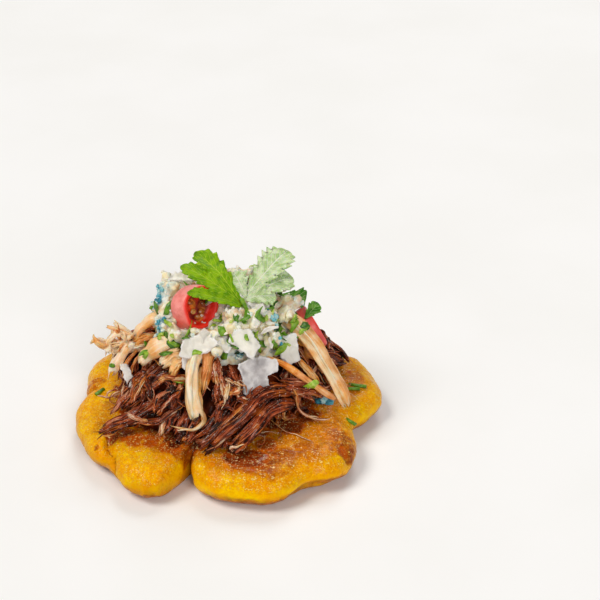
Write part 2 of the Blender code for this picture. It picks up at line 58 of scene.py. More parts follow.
Stops = tuple[tuple[float, str], ...]
Clear = list[tuple[Array, float]]


# ---------------------------------------------------------------------------------------------
# Numbers and lines
# ---------------------------------------------------------------------------------------------

def linear(code: str) -> tuple[float, float, float, float]:
    """Turns a colour of six hex digits into linear red, green and blue with a full alpha.

    Args:
        code: The six digits.

    Returns:
        The four shares, from 0 to 1.
    """
    parts = [int(code[start:start + 2], 16) / 255.0 for start in (0, 2, 4)]
    red, green, blue = (p / 12.92 if p <= 0.04045 else ((p + 0.055) / 1.055) ** 2.4 for p in parts)
    return red, green, blue, 1.0


def unit(vectors: Array) -> Array:
    """Scales vectors along the last axis to length one."""
    return vectors / np.maximum(np.linalg.norm(vectors, axis=-1, keepdims=True), 1e-9)


def ease(values: Array, low: float, high: float) -> Array:
    """Rises smoothly from 0 at low to 1 at high, or falls where low is the larger."""
    share = np.clip((values - low) / (high - low), 0.0, 1.0)
    return share * share * (3.0 - 2.0 * share)


def noise_over(points: Array, size: float, seed: float = 0.0, octaves: int = 1,
               basis: str = "PERLIN_ORIGINAL") -> Array:
    """Noise at many places.

    Args:
        points: Places in mm, one row each.
        size: Size of the noise's features in mm.
        seed: Moves the pattern, so that two calls differ.
        octaves: How many finer layers there are.
        basis: The kind of noise.

    Returns:
        One value for each place, about -1 to 1.
    """
    shift = Vector((seed * 17.31, seed * -9.17, seed * 5.73))
    spots = [Vector(point) + shift for point in (points / size)]
    if octaves == 1:
        return np.array([noise.noise(spot, noise_basis=basis) for spot in spots])
    return np.array([noise.fractal(spot, 0.9, 2.0, octaves, noise_basis=basis) for spot in spots])


def smooth_way(points: Array | tuple, count: int) -> Array:
    """Runs a smooth line through a few places and spaces it evenly.

    Args:
        points: Places in mm, one row each.
        count: How many places come back.

    Returns:
        Evenly spaced places in mm.
    """
    points = np.asarray(points, float)
    knots = np.vstack([2 * points[0] - points[1], points, 2 * points[-1] - points[-2]])
    spans = len(points) - 1
    along = np.linspace(0.0, spans, 10 * spans + 1)
    index = np.minimum(along.astype(int), spans - 1)
    t = (along - index)[:, None]
    a, b, c, d = (knots[index + step] for step in range(4))
    curve = 0.5 * (2 * b + (c - a) * t + (2 * a - 5 * b + 4 * c - d) * t ** 2
                   + (3 * b - a - 3 * c + d) * t ** 3)
    reach = np.concatenate([[0.0], np.cumsum(np.linalg.norm(np.diff(curve, axis=0), axis=1))])
    even = np.linspace(0.0, reach[-1], count)
    return np.stack([np.interp(even, reach, curve[:, axis]) for axis in range(3)], axis=1)


# ---------------------------------------------------------------------------------------------
# Nodes
# ---------------------------------------------------------------------------------------------

@dataclass(frozen=True)
class Value:
    """A value in a node tree; sums on it, and mixes by it, add nodes."""

    sheet: NodeSheet
    socket: bpy.types.NodeSocket

    def __add__(self, other: Value | float) -> Value:
        """The sum of two values."""
        return self.sheet.maths("ADD", self, other)

    def __sub__(self, other: Value | float) -> Value:
        """What is left of a value."""
        return self.sheet.maths("SUBTRACT", self, other)

    def __mul__(self, other: Value | float) -> Value:
        """The product of two values."""
        return self.sheet.maths("MULTIPLY", self, other)

    def __truediv__(self, other: Value | float) -> Value:
        """A value shared out."""
        return self.sheet.maths("DIVIDE", self, other)

    def larger(self, other: Value | float) -> Value:
        """The larger of two values."""
        return self.sheet.maths("MAXIMUM", self, other)

    def span(self, low: Value | float, high: Value | float, start: float = 0.0, end: float = 1.0) -> Value:
        """Maps the value smoothly from low..high to start..end."""
        feeds = {"Value": self, "From Min": low, "From Max": high, "To Min": start, "To Max": end}
        return self.sheet.value("Result", "ShaderNodeMapRange", feeds, interpolation_type="SMOOTHSTEP")

    def scaled(self, start: float, end: float) -> Value:
        """Maps the value smoothly from 0..1 to start..end."""
        return self.span(0.0, 1.0, start, end)

    def mix(self, first: Value | str, second: Value | str, how: str = "MIX") -> Value:
        """Mixes two colours, each a value or a hex code, by this value."""
        return self.sheet.value(2, "ShaderNodeMix", {0: self, 6: first, 7: second}, data_type="RGBA",
                                blend_type=how)


class NodeSheet:
    """Adds nodes to one tree and joins them up."""

    def __init__(self, tree: bpy.types.NodeTree) -> None:
        """Keeps the tree."""
        self.tree = tree

    def feed(self, node: bpy.types.Node, feeds: dict) -> None:
        """Joins or sets a node's sockets, by name with _ for a space, or by number.

        Args:
            node: The node.
            feeds: A value or a number for each socket.
        """
        for key, value in feeds.items():
            socket = node.inputs[key.replace("_", " ") if isinstance(key, str) else key]
            if isinstance(value, Value):
                self.tree.links.new(value.socket, socket)
            else:
                socket.default_value = linear(value) if isinstance(value, str) else value

    def values(self, kind: str, feeds: dict | None = None, **settings: object) -> list[Value]:
        """Adds one node.

        Args:
            kind: The node's type.
            feeds: What goes into its sockets: numbers, hex colours or values.
            settings: The node's own settings.

        Returns:
            What comes out of each of its outputs.
        """
        node = self.tree.nodes.new(kind)
        for name, setting in settings.items():
            setattr(node, name, setting)
        self.feed(node, feeds or {})
        return [Value(self, socket) for socket in node.outputs]

    def value(self, output: str | int, kind: str, feeds: dict | None = None, **settings: object) -> Value:
        """Adds one node, of which one output is wanted, by name or number.

        Args:
            output: The output.
            kind: The node's type.
            feeds: What goes into its sockets.
            settings: The node's own settings by name.

        Returns:
            The value of that output.
        """
        made = self.values(kind, feeds, **settings)
        return made[output] if isinstance(output, int) else next(
            value for value in made if value.socket.name == output)

    def maths(self, operation: str, first: Value | float, second: Value | float = 0.0) -> Value:
        """One sum on two values."""
        return self.value(0, "ShaderNodeMath", {0: first, 1: second}, operation=operation)

    def ramp(self, share: Value, stops: Stops) -> Value:
        """Turns a value from 0 to 1 into a colour; stops are places along it with hex colours.

        Args:
            share: The value.
            stops: The stops.

        Returns:
            The colour.
        """
        colour = self.value("Color", "ShaderNodeValToRGB", {"Fac": share})
        elements = colour.socket.node.color_ramp.elements
        while len(elements) < len(stops):
            elements.new(0.5)
        for element, (position, code) in zip(elements, stops):
            element.position = position
            element.color = linear(code)
        return colour


def open_group(name: str, *inputs: str) -> tuple[NodeSheet, list[Value]]:
    """Starts a shader node group.

    Args:
        name: The group's name.
        inputs: Its inputs' names, first a vector and then numbers.

    Returns:
        The sheet to build on and what comes in.
    """
    tree = bpy.data.node_groups.new(name, "ShaderNodeTree")
    for index, label in enumerate(inputs):
        kind = "NodeSocketFloat" if index else "NodeSocketVector"
        tree.interface.new_socket(label, in_out="INPUT", socket_type=kind)
    sheet = NodeSheet(tree)
    return sheet, sheet.values("NodeGroupInput")[:len(inputs)]


def close_group(sheet: NodeSheet, **outputs: Value) -> bpy.types.NodeTree:
    """Gives a group its outputs, which are numbers.

    Args:
        sheet: The group's nodes.
        outputs: The outputs by name.

    Returns:
        The group.
    """
    for label in outputs:
        sheet.tree.interface.new_socket(label, in_out="OUTPUT", socket_type="NodeSocketFloat")
    sheet.values("NodeGroupOutput", outputs)
    return sheet.tree


class SharedEffects:
    """Effects that more than one finish uses, each built once."""

    def __init__(self) -> None:
        """Builds the groups."""
        self.fibres = self.make_fibres()
        self.specks = self.make_specks()
        self.cloud = self.make_cloud()

    @staticmethod
    def make_fibres() -> bpy.types.NodeTree:
        """Streaks along the first direction of a map in mm; Length and Width are in mm too.

        Returns:
            The shared group.
        """
        sheet, (where, length, width) = open_group("long_fibres", "Map", "Length", "Width")
        along, across, _ = sheet.values("ShaderNodeSeparateXYZ", {0: where})
        streak = sheet.value(0, "ShaderNodeCombineXYZ", {0: along / length, 1: across / width})
        broad, fine = (sheet.value("Fac", "ShaderNodeTexNoise",
                                   {"Vector": streak, "Scale": scale, "Detail": detail})
                       for scale, detail in ((1.0, 2.0), (3.1, 1.0)))
        return close_group(sheet, Broad=broad.span(0.32, 0.68), Fine=fine.span(0.35, 0.65),
                           Height=broad * 0.7 + fine * 0.3)

    @staticmethod
    def make_specks() -> bpy.types.NodeTree:
        """Small separate dots, for bumps and for painted glints: Size is in mm, Share runs from 0 to 1.

        Returns:
            The shared group.
        """
        sheet, (place, size, share) = open_group("small_specks", "Place", "Size", "Share")
        distance, tint = sheet.values("ShaderNodeTexVoronoi", {
            "Vector": place, "Scale": sheet.maths("DIVIDE", 1.0 / MM, size)})[:2]
        chosen = sheet.maths("LESS_THAN", sheet.value(0, "ShaderNodeSeparateColor", {0: tint}), share)
        return close_group(sheet, Mask=chosen * distance.span(0.42, 0.12))

    @staticmethod
    def make_cloud() -> bpy.types.NodeTree:
        """Soft patches over a surface: Size is in mm, and Low and High bound their edge.

        Returns:
            The shared group.
        """
        sheet, (place, size, low, high) = open_group("soft_patches", "Place", "Size", "Low", "High")
        patches = sheet.value("Fac", "ShaderNodeTexNoise", {
            "Vector": place, "Scale": sheet.maths("DIVIDE", 1.0 / MM, size), "Detail": 4.0})
        return close_group(sheet, Mask=patches.span(low, high))


class FinishSheet(NodeSheet):
    """The nodes of one material, with sizes in mm on the object's own coordinates."""

    def __init__(self, shared: SharedEffects, name: str, soft: tuple[float, Place, float] | None = None,
                 **uniform: object) -> None:
        """Starts the material.

        Args:
            shared: The shared effects.
            name: The material's name.
            soft: How much light goes in, how far each of its colours goes, and how deep in mm.
            uniform: Values that are the same all over, by socket name.
        """
        self.material = bpy.data.materials.new(name)
        self.material.use_nodes = True
        super().__init__(self.material.node_tree)
        self.shared = shared
        self.shader = self.tree.nodes["Principled BSDF"]
        self.feed(self.shader, uniform)
        if soft is not None:
            self.feed(self.shader, {"Subsurface Weight": soft[0], "Subsurface Radius": soft[1],
                                    "Subsurface Scale": soft[2] * MM})
        self.place = self.value("Object", "ShaderNodeTexCoord")

    def noise(self, size: float, detail: float = 3.0) -> Value:
        """Cloudy noise whose features are about size mm across."""
        feeds = {"Vector": self.place, "Scale": 1.0 / (size * MM), "Detail": detail}
        return self.value("Fac", "ShaderNodeTexNoise", feeds)

    def use(self, group: bpy.types.NodeTree, *feeds: object) -> list[Value]:
        """Places a shared group; feeds are its inputs in order.

        Args:
            group: The group.
            feeds: Its inputs.

        Returns:
            The values of its outputs.
        """
        values = self.values("ShaderNodeGroup", node_tree=group)
        self.feed(values[0].socket.node, dict(enumerate(feeds)))
        return values

    def patches(self, size: float, low: float, high: float) -> Value:
        """Soft patches of about size mm."""
        return self.use(self.shared.cloud, self.place, size, low, high)[0]

    def specks(self, size: float, share: float) -> Value:
        """Small dots of about size mm."""
        return self.use(self.shared.specks, self.place, size, share)[0]

    def unwrapped(self, name: str) -> Value:
        """The piece's own UV map."""
        return self.value("UV", "ShaderNodeUVMap", uv_map=name)

    def painted(self, *names: str) -> list[Value]:
        """Values that the piece's mesh carries."""
        return [self.value("Fac", "ShaderNodeAttribute", attribute_name=name) for name in names]

    def finish(self, colour: Value, roughness: Value | float, height: Value, relief: float,
               strength: float = 1.0, **others: Value) -> Material:
        """Joins the last values to the shader.

        Args:
            colour: The base colour.
            roughness: The roughness.
            height: The height of the bumps, from 0 to 1.
            relief: How high they are, in mm.
            strength: How strong they look.
            others: Values for further sockets, by name.

        Returns:
            The material.
        """
        feeds = {"Strength": strength, "Distance": relief * MM, "Height": height}
        self.feed(self.shader, {"Base Color": colour, "Roughness": roughness,
                                "Normal": self.value("Normal", "ShaderNodeBump", feeds), **others})
        return self.material


# ---------------------------------------------------------------------------------------------
# Finishes
# ---------------------------------------------------------------------------------------------

@dataclass(frozen=True)
class FriedCrust:
    """Fried green plantain: bright yellow, toasted where it is flat, brown at its foot and creases, with
    painted shade in its hollows and painted glints on its top.
    """

    yellow: str = "FAB600"
    pale: str = "FFD000"
    deep: str = "E28800"
    soaked: str = "C25A08"
    caramel: str = "B8620A"
    toasted: str = "86340A"
    juice: str = "520E06"
    char: str = "8A3C06"
    edge: str = "BE6C06"
    # Painted glints: the two pale colours of the flecks on the top and shoulder.
    glint_cream: str = "FFDFA2"
    glint_yellow: str = "FFDC6A"

    def material(self, shared: SharedEffects) -> Material:
        """Builds the crust's material.

        Args:
            shared: The shared effects.

        Returns:
            The material.
        """
        sheet = FinishSheet(shared, "fried_crust", (0.16, (1.0, 0.45, 0.03), 1.2), Coat_Roughness=0.08,
                            IOR=1.42, Specular_IOR_Level=0.14, Specular_Tint=(1.0, 0.66, 0.12, 1.0))
        toast, stain, hollow, char, upper, scorch = sheet.painted("toast", "stain", "hollow", "char",
                                                                  "upper", "scorch")
        broad, small = sheet.patches(6.0, 0.38, 0.62), sheet.patches(1.5, 0.38, 0.62)
        flesh = broad.mix(self.yellow, self.pale)
        flesh = (small * upper.scaled(0.34, 0.46)).mix(flesh, self.deep)
        flesh = (toast * broad.scaled(0.8, 1.0)).mix(flesh, small.mix(self.caramel, self.deep))
        scorched = scorch * small.scaled(1.0, 0.5)
        flesh = scorched.span(0.0, 0.5, 0.0, 0.9).mix(flesh, self.caramel)
        flesh = scorched.span(0.4, 1.0, 0.0, 0.85).mix(flesh, self.toasted)
        flesh = stain.span(0.0, 0.45).mix(flesh, self.soaked)
        drenched = stain.span(0.35, 0.95) * small.scaled(1.0, 0.7)
        flesh = drenched.mix(flesh, broad.mix(self.juice, self.toasted))
        # Darker in hollows: partly browning in the creases, partly painted shade.
        flesh = (hollow * 0.7).mix(flesh, self.toasted)
        flesh = char.mix(flesh, small.mix(self.char, self.edge))
        grain = sheet.patches(0.45, 0.35, 0.65) * upper.scaled(0.12, 0.46)
        flesh = grain.mix(flesh, self.deep, "MULTIPLY")
        # Painted glints: pale flecks on the top and shoulder, denser in patches, stand in for highlights off
        # the oil; they also raise the bumps.
        flecks_and_glints = sheet.noise(0.62, 2.0).span(0.575, 0.68).larger(sheet.specks(0.50, 0.5))
        glint_density = sheet.noise(2.2).span(0.40, 0.60, 0.25, 0.95) * upper.span(0.3, 0.9)
        flesh = (flecks_and_glints * glint_density).mix(flesh, toast.mix(self.glint_yellow, self.glint_cream))
        height = (sheet.noise(0.95, 2.0) + flecks_and_glints * 0.25) * upper.scaled(0.35, 1.0)
        wet = upper.span(0.3, 1.0, 0.0, 0.10).larger(stain.scaled(0.0, 0.5))
        return sheet.finish(flesh, sheet.noise(2.4).span(0.35, 0.7, 0.26, 0.42), height, 0.40,
                            Coat_Weight=wet)


@dataclass(frozen=True)
class PulledFibre:
    """Pulled meat: streaked along its fibres, wet, darker in the gaps by painted shade, with pale flecks
    that are partly fat and partly painted glints.
    """

    name: str
    stops: Stops
    warm_stops: Stops
    roughness: float
    coat: float
    soft: float
    streak: float
    patch: float
    relief: float
    # The share and the colour of pale flecks that are partly fat and partly painted glints.
    flecks_and_glints: float
    fat_and_glint_colour: str = "F6E2D6"

    def material(self, shared: SharedEffects) -> Material:
        """Builds the meat's material.

        Args:
            shared: The shared effects.

        Returns:
            The material.
        """
        sheet = FinishSheet(shared, self.name, (self.soft, (1.0, 0.42, 0.22), 1.2), Coat_Roughness=0.08,
                            Coat_Weight=self.coat, IOR=1.42, Specular_IOR_Level=0.22,
                            Specular_Tint=(1.0, 0.72, 0.55, 1.0))
        length, width = 7.0, 0.5
        broad, fine, height = sheet.use(shared.fibres, sheet.unwrapped("grain"), length, width)
        shade = sheet.painted("tone")[0] + (broad - 0.5) * self.streak
        shade = shade + (sheet.patches(3.0, 0.3, 0.7) - 0.5) * self.patch
        colour = sheet.patches(4.5, 0.46, 0.62).mix(sheet.ramp(shade, self.stops),
                                                    sheet.ramp(shade, self.warm_stops))
        # Pale flecks on the ridges: partly fat, partly painted glints.
        fat_flecks_and_glints = sheet.specks(0.55, self.flecks_and_glints) * fine.span(0.4, 0.8)
        return sheet.finish((fat_flecks_and_glints * 0.75).mix(colour, self.fat_and_glint_colour),
                            fine.scaled(self.roughness, self.roughness + 0.22),
                            height + sheet.noise(1.0) * 0.6, self.relief)


BEEF_FINISH = PulledFibre(
    "braised_beef", ((0.0, "140402"), (0.20, "401004"), (0.44, "8E3618"), (0.68, "C0643C"),
                     (0.88, "DE9C74"), (1.0, "F2CEAC")),
    ((0.0, "1A0502"), (0.20, "501603"), (0.44, "A0400C"), (0.68, "CC6C24"), (0.88, "E2A052"),
     (1.0, "F4D2A4")), 0.22, 0.30, 0.14, 0.54, 0.30, 0.7, 0.38)
CHICKEN_FINISH = PulledFibre(
    "pulled_chicken", ((0.0, "9A4A1C"), (0.22, "D07C3A"), (0.45, "EFAC6E"), (0.70, "FBD0A0"),
                       (1.0, "FFEBD0")),
    ((0.0, "A8480C"), (0.22, "D8761E"), (0.45, "F2A450"), (0.70, "FBC88C"), (1.0, "FEE6CE")),
    0.30, 0.14, 0.35, 0.20, 0.34, 0.26, 0.10)


@dataclass(frozen=True)
class JuiceAndGapShade:
    """The dark cooking juice round the heap; on the heaps' cores, seen between the shreds, it is also
    painted shade in the gaps.
    """

    dark: str = "240803"
    clear: str = "6A2409"

    def material(self, shared: SharedEffects) -> Material:
        """Builds the juice's material.

        Args:
            shared: The shared effects.

        Returns:
            The material.
        """
        sheet = FinishSheet(shared, "juice_and_gap_shade", Coat_Weight=0.06, Coat_Roughness=0.06,
                            Specular_IOR_Level=0.12, Specular_Tint=(1.0, 0.5, 0.35, 1.0))
        mask = sheet.patches(3.5, 0.38, 0.66)
        return sheet.finish(mask.mix(self.dark, self.clear), mask.scaled(0.34, 0.55), sheet.noise(1.1), 0.5)


@dataclass(frozen=True)
class BlueCheese:
    """Crumbled cheese: creamy white curd with blue-green mould, and a warm painted shade in its hollows."""

    white: str = "FFF9E8"
    curd: str = "FBE8BE"
    shade: str = "C67A26"
    tan: str = "E2AC74"
    blue: str = "68BCCC"
    teal: str = "2484A0"

    def material(self, shared: SharedEffects) -> Material:
        """Builds the cheese's material.

        Args:
            shared: The shared effects.

        Returns:
            The material.
        """
        sheet = FinishSheet(shared, "blue_cheese", (0.5, (1.0, 0.8, 0.5), 2.0), Specular_IOR_Level=0.4)
        hollow, blue = sheet.painted("hollow", "blue")
        curd = sheet.patches(2.6, 0.38, 0.64)
        colour = curd.mix(self.white, self.curd)
        colour = (sheet.patches(3.4, 0.52, 0.66) * 0.65).mix(colour, self.tan)
        # Hollows take the warm shade colour: painted shade, partly brown bits between the crumbs.
        colour = (hollow * 0.9).mix(colour, self.shade)
        mould = sheet.patches(0.9, 0.42, 0.6).mix(self.blue, self.teal)
        colour = (blue * sheet.patches(1.2, 0.36, 0.48)).mix(colour, mould)
        return sheet.finish(colour, curd.scaled(0.42, 0.62), sheet.noise(0.6, 4.0), 0.25, 0.8)


@dataclass(frozen=True)
class TonedBits:
    """Small chopped bits whose colour differs from one to the next."""

    name: str
    stops: Stops
    roughness: float
    coat: float
    soft: float

    def material(self, shared: SharedEffects) -> Material:
        """Builds the bits' material.

        Args:
            shared: The shared effects.

        Returns:
            The material.
        """
        sheet = FinishSheet(shared, self.name, (self.soft, (0.6, 1.0, 0.5), 0.8), Coat_Weight=self.coat,
                            Coat_Roughness=0.2)
        patch = sheet.patches(0.9, 0.35, 0.65) - 0.5
        return sheet.finish(sheet.ramp(sheet.painted("tone")[0] + patch * 0.25, self.stops),
                            patch.span(-0.5, 0.5, self.roughness, self.roughness + 0.2),
                            sheet.noise(0.5), 0.12, 0.8)


HERB_FINISH = TonedBits("chopped_herbs", ((0.0, "16350A"), (0.25, "386C0C"), (0.5, "68980E"),
                                          (0.8, "98BC2C"), (1.0, "C8D66A")), 0.32, 0.2, 0.2)
MOULD_FINISH = TonedBits("blue_mould", ((0.0, "16484E"), (0.25, "3292AA"), (0.5, "7CC4CE"),
                                        (0.8, "D6E4D8"), (1.0, "F8F1E0")), 0.5, 0.05, 0.15)
SEED_FINISH = TonedBits("chilli_seeds", ((0.0, "7A2C0A"), (0.5, "B4661C"), (1.0, "E6B468")),
                        0.2, 0.8, 0.3)


@dataclass(frozen=True)
class ShavedCheese:
    """Thin shavings of hard cheese: clear in the middle, whiter along the broken edge."""

    middle: str = "A8A2A4"
    milk: str = "F6F2F0"
    warm: str = "FBF4E4"

    def material(self, shared: SharedEffects) -> Material:
        """Builds the shavings' material.

        Args:
            shared: The shared effects.

        Returns:
            The material.
        """
        sheet = FinishSheet(shared, "shaved_cheese", (0.45, (1.0, 0.95, 0.85), 2.2), Coat_Weight=0.15,
                            Coat_Roughness=0.25)
        tone, edge = sheet.painted("tone", "edge")
        cloud = sheet.patches(2.8, 0.36, 0.66)
        colour = tone.mix((cloud * 0.55).mix(self.middle, self.milk), self.warm)
        return sheet.finish((edge * 0.85).mix(colour, self.milk), cloud.scaled(0.38, 0.55),
                            sheet.noise(0.9, 4.0), 0.12, 0.8)


@dataclass(frozen=True)
class ChilliFlesh:
    """A cut red chilli: glossy skin with a painted sheen, paler juicy flesh, orange pith and painted shade
    inside.
    """

    skin: str = "D8281C"
    bright: str = "EE4434"
    # Painted sheen: a pale pink put on the skin where the light falls.
    painted_sheen: str = "FF9A90"
    flesh: str = "FA2408"
    # Painted shade inside the ring's hollow.
    inner: str = "7A0C04"
    pith: str = "F08A18"

    def material(self, shared: SharedEffects) -> Material:
        """Builds the chilli's material.

        Args:
            shared: The shared effects.

        Returns:
            The material.
        """
        sheet = FinishSheet(shared, "red_chilli", (0.15, (1.0, 0.25, 0.15), 1.4), Coat_Roughness=0.42)
        painted_sheen, cut, deep, pith = sheet.painted("painted_sheen", "cut", "deep", "pith")
        cloud = sheet.patches(2.2, 0.35, 0.65)
        colour = cloud.mix(self.skin, self.bright)
        # The sheen and the dark inner patches are painted light and shade; the cut flesh and the pith are
        # the chilli's own colours.
        for mask, code in ((painted_sheen * cloud.scaled(0.6, 1.0), self.painted_sheen), (cut, self.flesh),
                           (deep, self.inner), (pith, self.pith)):
            colour = mask.mix(colour, code)
        return sheet.finish(colour, 0.5, sheet.specks(0.5, 0.8) + sheet.noise(0.9), 0.10, 0.6,
                            Coat_Weight=cut.scaled(0.9, 0.35))


@dataclass(frozen=True)
class LeafGreen:
    """A fresh leaf: paler veins, darker blade, one of several greens."""

    name: str
    blade: str
    light: str
    vein: str
    ribs: float = 7.0

    def material(self, shared: SharedEffects) -> Material:
        """Builds the leaf's material; its map runs along the midrib and out to the edge.

        Args:
            shared: The shared effects.

        Returns:
            The material.
        """
        sheet = FinishSheet(shared, self.name, (0.25, (0.5, 1.0, 0.1), 0.8), Coat_Weight=0.04,
                            Coat_Roughness=0.3, Specular_IOR_Level=0.12)
        along, out, _ = sheet.values("ShaderNodeSeparateXYZ", {0: sheet.unwrapped("leaf")})
        aside = sheet.maths("ABSOLUTE", out)
        ribs = sheet.maths("PINGPONG", (along - aside * 0.22) * self.ribs, 0.5)
        vein = aside.span(0.06, 0.01).larger(ribs.span(0.16, 0.0) * 0.85)
        cloud = sheet.patches(1.8, 0.36, 0.64)
        colour = (vein * 0.75).mix(cloud.mix(self.blade, self.light), self.vein)
        return sheet.finish(colour, cloud.scaled(0.36, 0.52), sheet.noise(0.6) - vein * 0.9, 0.2, 0.8)


# ---------------------------------------------------------------------------------------------
# Meshes
# ---------------------------------------------------------------------------------------------

def put_in_scene(name: str, data: bpy.types.ID) -> Piece:
    """Makes an object of a mesh, a light or a camera.

    Args:
        name: Its name.
        data: The mesh, light or camera.

    Returns:
        The object.
    """
    piece = bpy.data.objects.new(name, data)
    bpy.context.scene.collection.objects.link(piece)
    return piece


def piece_from(bm: bmesh.types.BMesh, name: str) -> Piece:
    """Makes an object of a bmesh and frees it.

    Args:
        bm: The bmesh, in metres.
        name: The object's name.

    Returns:
        The object.
    """
    mesh = bpy.data.meshes.new(name)
    bm.to_mesh(mesh)
    bm.free()
    return put_in_scene(name, mesh)


def shade(piece: Piece, smooth: bool = True) -> Piece:
    """Shades a piece smooth or flat."""
    piece.data.polygons.foreach_set("use_smooth", np.full(len(piece.data.polygons), smooth))
    return piece


def settle(piece: Piece) -> None:
    """Makes a piece's modifiers part of its mesh.

    Args:
        piece: The piece.
    """
    bpy.context.view_layer.update()
    graph = bpy.context.evaluated_depsgraph_get()
    mesh = bpy.data.meshes.new_from_object(piece.evaluated_get(graph))
    before = piece.data
    piece.modifiers.clear()
    piece.data = mesh
    bpy.data.meshes.remove(before)


def reskin(piece: Piece, voxel: float, smoothing: int) -> None:
    """Gives a piece one closed, even skin.

    Args:
        piece: The piece, changed in place.
        voxel: The size of the new faces in mm.
        smoothing: How many rounds of smoothing follow.
    """
    remesh = piece.modifiers.new("Skin", "REMESH")
    remesh.mode = "VOXEL"
    remesh.voxel_size = voxel * MM
    smooth = piece.modifiers.new("Smooth", "SMOOTH")
    smooth.factor = 0.5
    smooth.iterations = smoothing
    settle(piece)
    shade(piece)


def thicken(bm: bmesh.types.BMesh, thickness: float) -> None:
    """Gives flat faces a thickness upwards.

    Args:
        bm: The bmesh with the faces.
        thickness: How thick, in the bmesh's own unit.
    """
    made = bmesh.ops.extrude_face_region(bm, geom=list(bm.faces))["geom"]
    top = [item for item in made if isinstance(item, bmesh.types.BMVert)]
    bmesh.ops.translate(bm, verts=top, vec=(0.0, 0.0, thickness))


class Skin:
    """The points and normals of a mesh, in mm, to be pushed in and out and painted."""

    def __init__(self, piece: Piece) -> None:
        """Reads the mesh.

        Args:
            piece: The piece.
        """
        self.mesh = piece.data
        verts, edges = self.mesh.vertices, self.mesh.edges
        places, normals = np.empty((2, 3 * len(verts)))
        pairs = np.empty(2 * len(edges), int)
        verts.foreach_get("co", places)
        verts.foreach_get("normal", normals)
        edges.foreach_get("vertices", pairs)
        self.points = places.reshape(-1, 3) / MM
        self.normals = normals.reshape(-1, 3)
        self.pairs = pairs.reshape(-1, 2)

    def push(self, distance: Array) -> None:
        """Moves every point along its normal, by mm."""
        self.points = self.points + self.normals * distance[:, None]

    def away(self, place: Array | Place) -> Array:
        """Every point's distance from a place, in mm."""
        return np.linalg.norm(self.points - np.array(place), axis=1)

    def spread(self, values: Array, rounds: int) -> Array:
        """Averages values with their neighbours', so many times.

        Args:
            values: One number for each point.
            rounds: How many times.

        Returns:
            The averaged numbers.
        """
        first, second = self.pairs.T
        count = len(self.points)
        share = np.bincount(first, minlength=count) + np.bincount(second, minlength=count)
        for _ in range(rounds):
            total = np.bincount(first, values[second], count) + np.bincount(second, values[first], count)
            values = 0.5 * values + 0.5 * total / np.maximum(share, 1)
        return values

    def hollows(self, rounds: int) -> Array:
        """How far the surface lies below its own surroundings, in mm."""
        smooth = np.stack([self.spread(self.points[:, axis], rounds) for axis in range(3)], axis=1)
        return np.einsum("ij,ij->i", smooth - self.points, self.normals)

    def paint(self, name: str, values: Array) -> None:
        """Stores a value for each point, for the material to read."""
        layer = self.mesh.attributes.new(name, "FLOAT", "POINT")
        layer.data.foreach_set("value", np.clip(values, 0.0, 1.0).astype(np.float32))

    def write(self) -> None:
        """Puts the points back into the mesh."""
        self.mesh.vertices.foreach_set("co", (self.points * MM).ravel())
        self.mesh.update()


class Template:
    """One small closed shape that is repeated many times in one joined mesh."""

    def __init__(self, bm: bmesh.types.BMesh) -> None:
        """Reads the shape, in mm, and frees the bmesh.

        Args:
            bm: The bmesh of the shape.
        """
        bmesh.ops.recalc_face_normals(bm, faces=bm.faces)
        bm.verts.index_update()
        self.points = np.array([vert.co for vert in bm.verts])
        self.corners = np.array([vert.index for face in bm.faces for vert in face.verts])
        sizes = np.array([len(face.verts) for face in bm.faces])
        self.starts = np.concatenate([[0], np.cumsum(sizes)[:-1]])
        bm.free()

    def repeat(self, name: str, places: Array | list, tones: Array | list, maps: Array | None = None,
               smooth: bool = True) -> Piece:
        """Joins copies of the shape in one mesh.

        Args:
            name: The piece's name.
            places: Where each copy's points are, in mm: copies by points by 3.
            tones: Values for its material to read as "tone": one for each copy, or copies by points.
            maps: UV coordinates, copies by corners by 2.
            smooth: Whether it is shaded smooth.

        Returns:
            The piece.
        """
        places, tones = np.array(places), np.array(tones)
        copies, size = places.shape[:2]
        order = np.arange(copies)[:, None]
        mesh = bpy.data.meshes.new(name)
        mesh.vertices.add(copies * size)
        mesh.vertices.foreach_set("co", (places * MM).ravel())
        mesh.loops.add(copies * len(self.corners))
        mesh.loops.foreach_set("vertex_index", (self.corners[None] + order * size).ravel())
        mesh.polygons.add(copies * len(self.starts))
        mesh.polygons.foreach_set("loop_start", (self.starts[None] + order * len(self.corners)).ravel())
        mesh.update(calc_edges=True)
        mesh.validate()
        layer = mesh.attributes.new("tone", "FLOAT", "POINT")
        tones = np.broadcast_to(tones.reshape(copies, -1), (copies, size))
        layer.data.foreach_set("value", np.clip(tones, 0.0, 1.0).ravel().astype(np.float32))
        if maps is not None:
            mesh.uv_layers.new(name="grain").data.foreach_set("uv", maps.ravel().astype(np.float32))
        return shade(put_in_scene(name, mesh), smooth)

    def ragged(self, draw: Draw, depth: float) -> Array:
        """How much further or less far each point reaches round an uneven outline.

        Args:
            draw: The random numbers.
            depth: How uneven it is.

        Returns:
            A factor for each point, as a column.
        """
        angle = np.arctan2(self.points[:, 1], self.points[:, 0])
        return (1.0 + depth * np.sin(angle * 2 + draw.uniform(0, 6.3))
                + 0.2 * np.sin(angle * 3 + draw.uniform(0, 6.3)))[:, None]


@dataclass
class Strand:
    """One shred or thread: the way it lies and half its width and thickness, all in mm."""

    way: Array
    width: float
    depth: float
    tone: float
    tip: float = 0.35
    roll: float = 0.0
    twist: float = 0.0
    face: Place | None = None


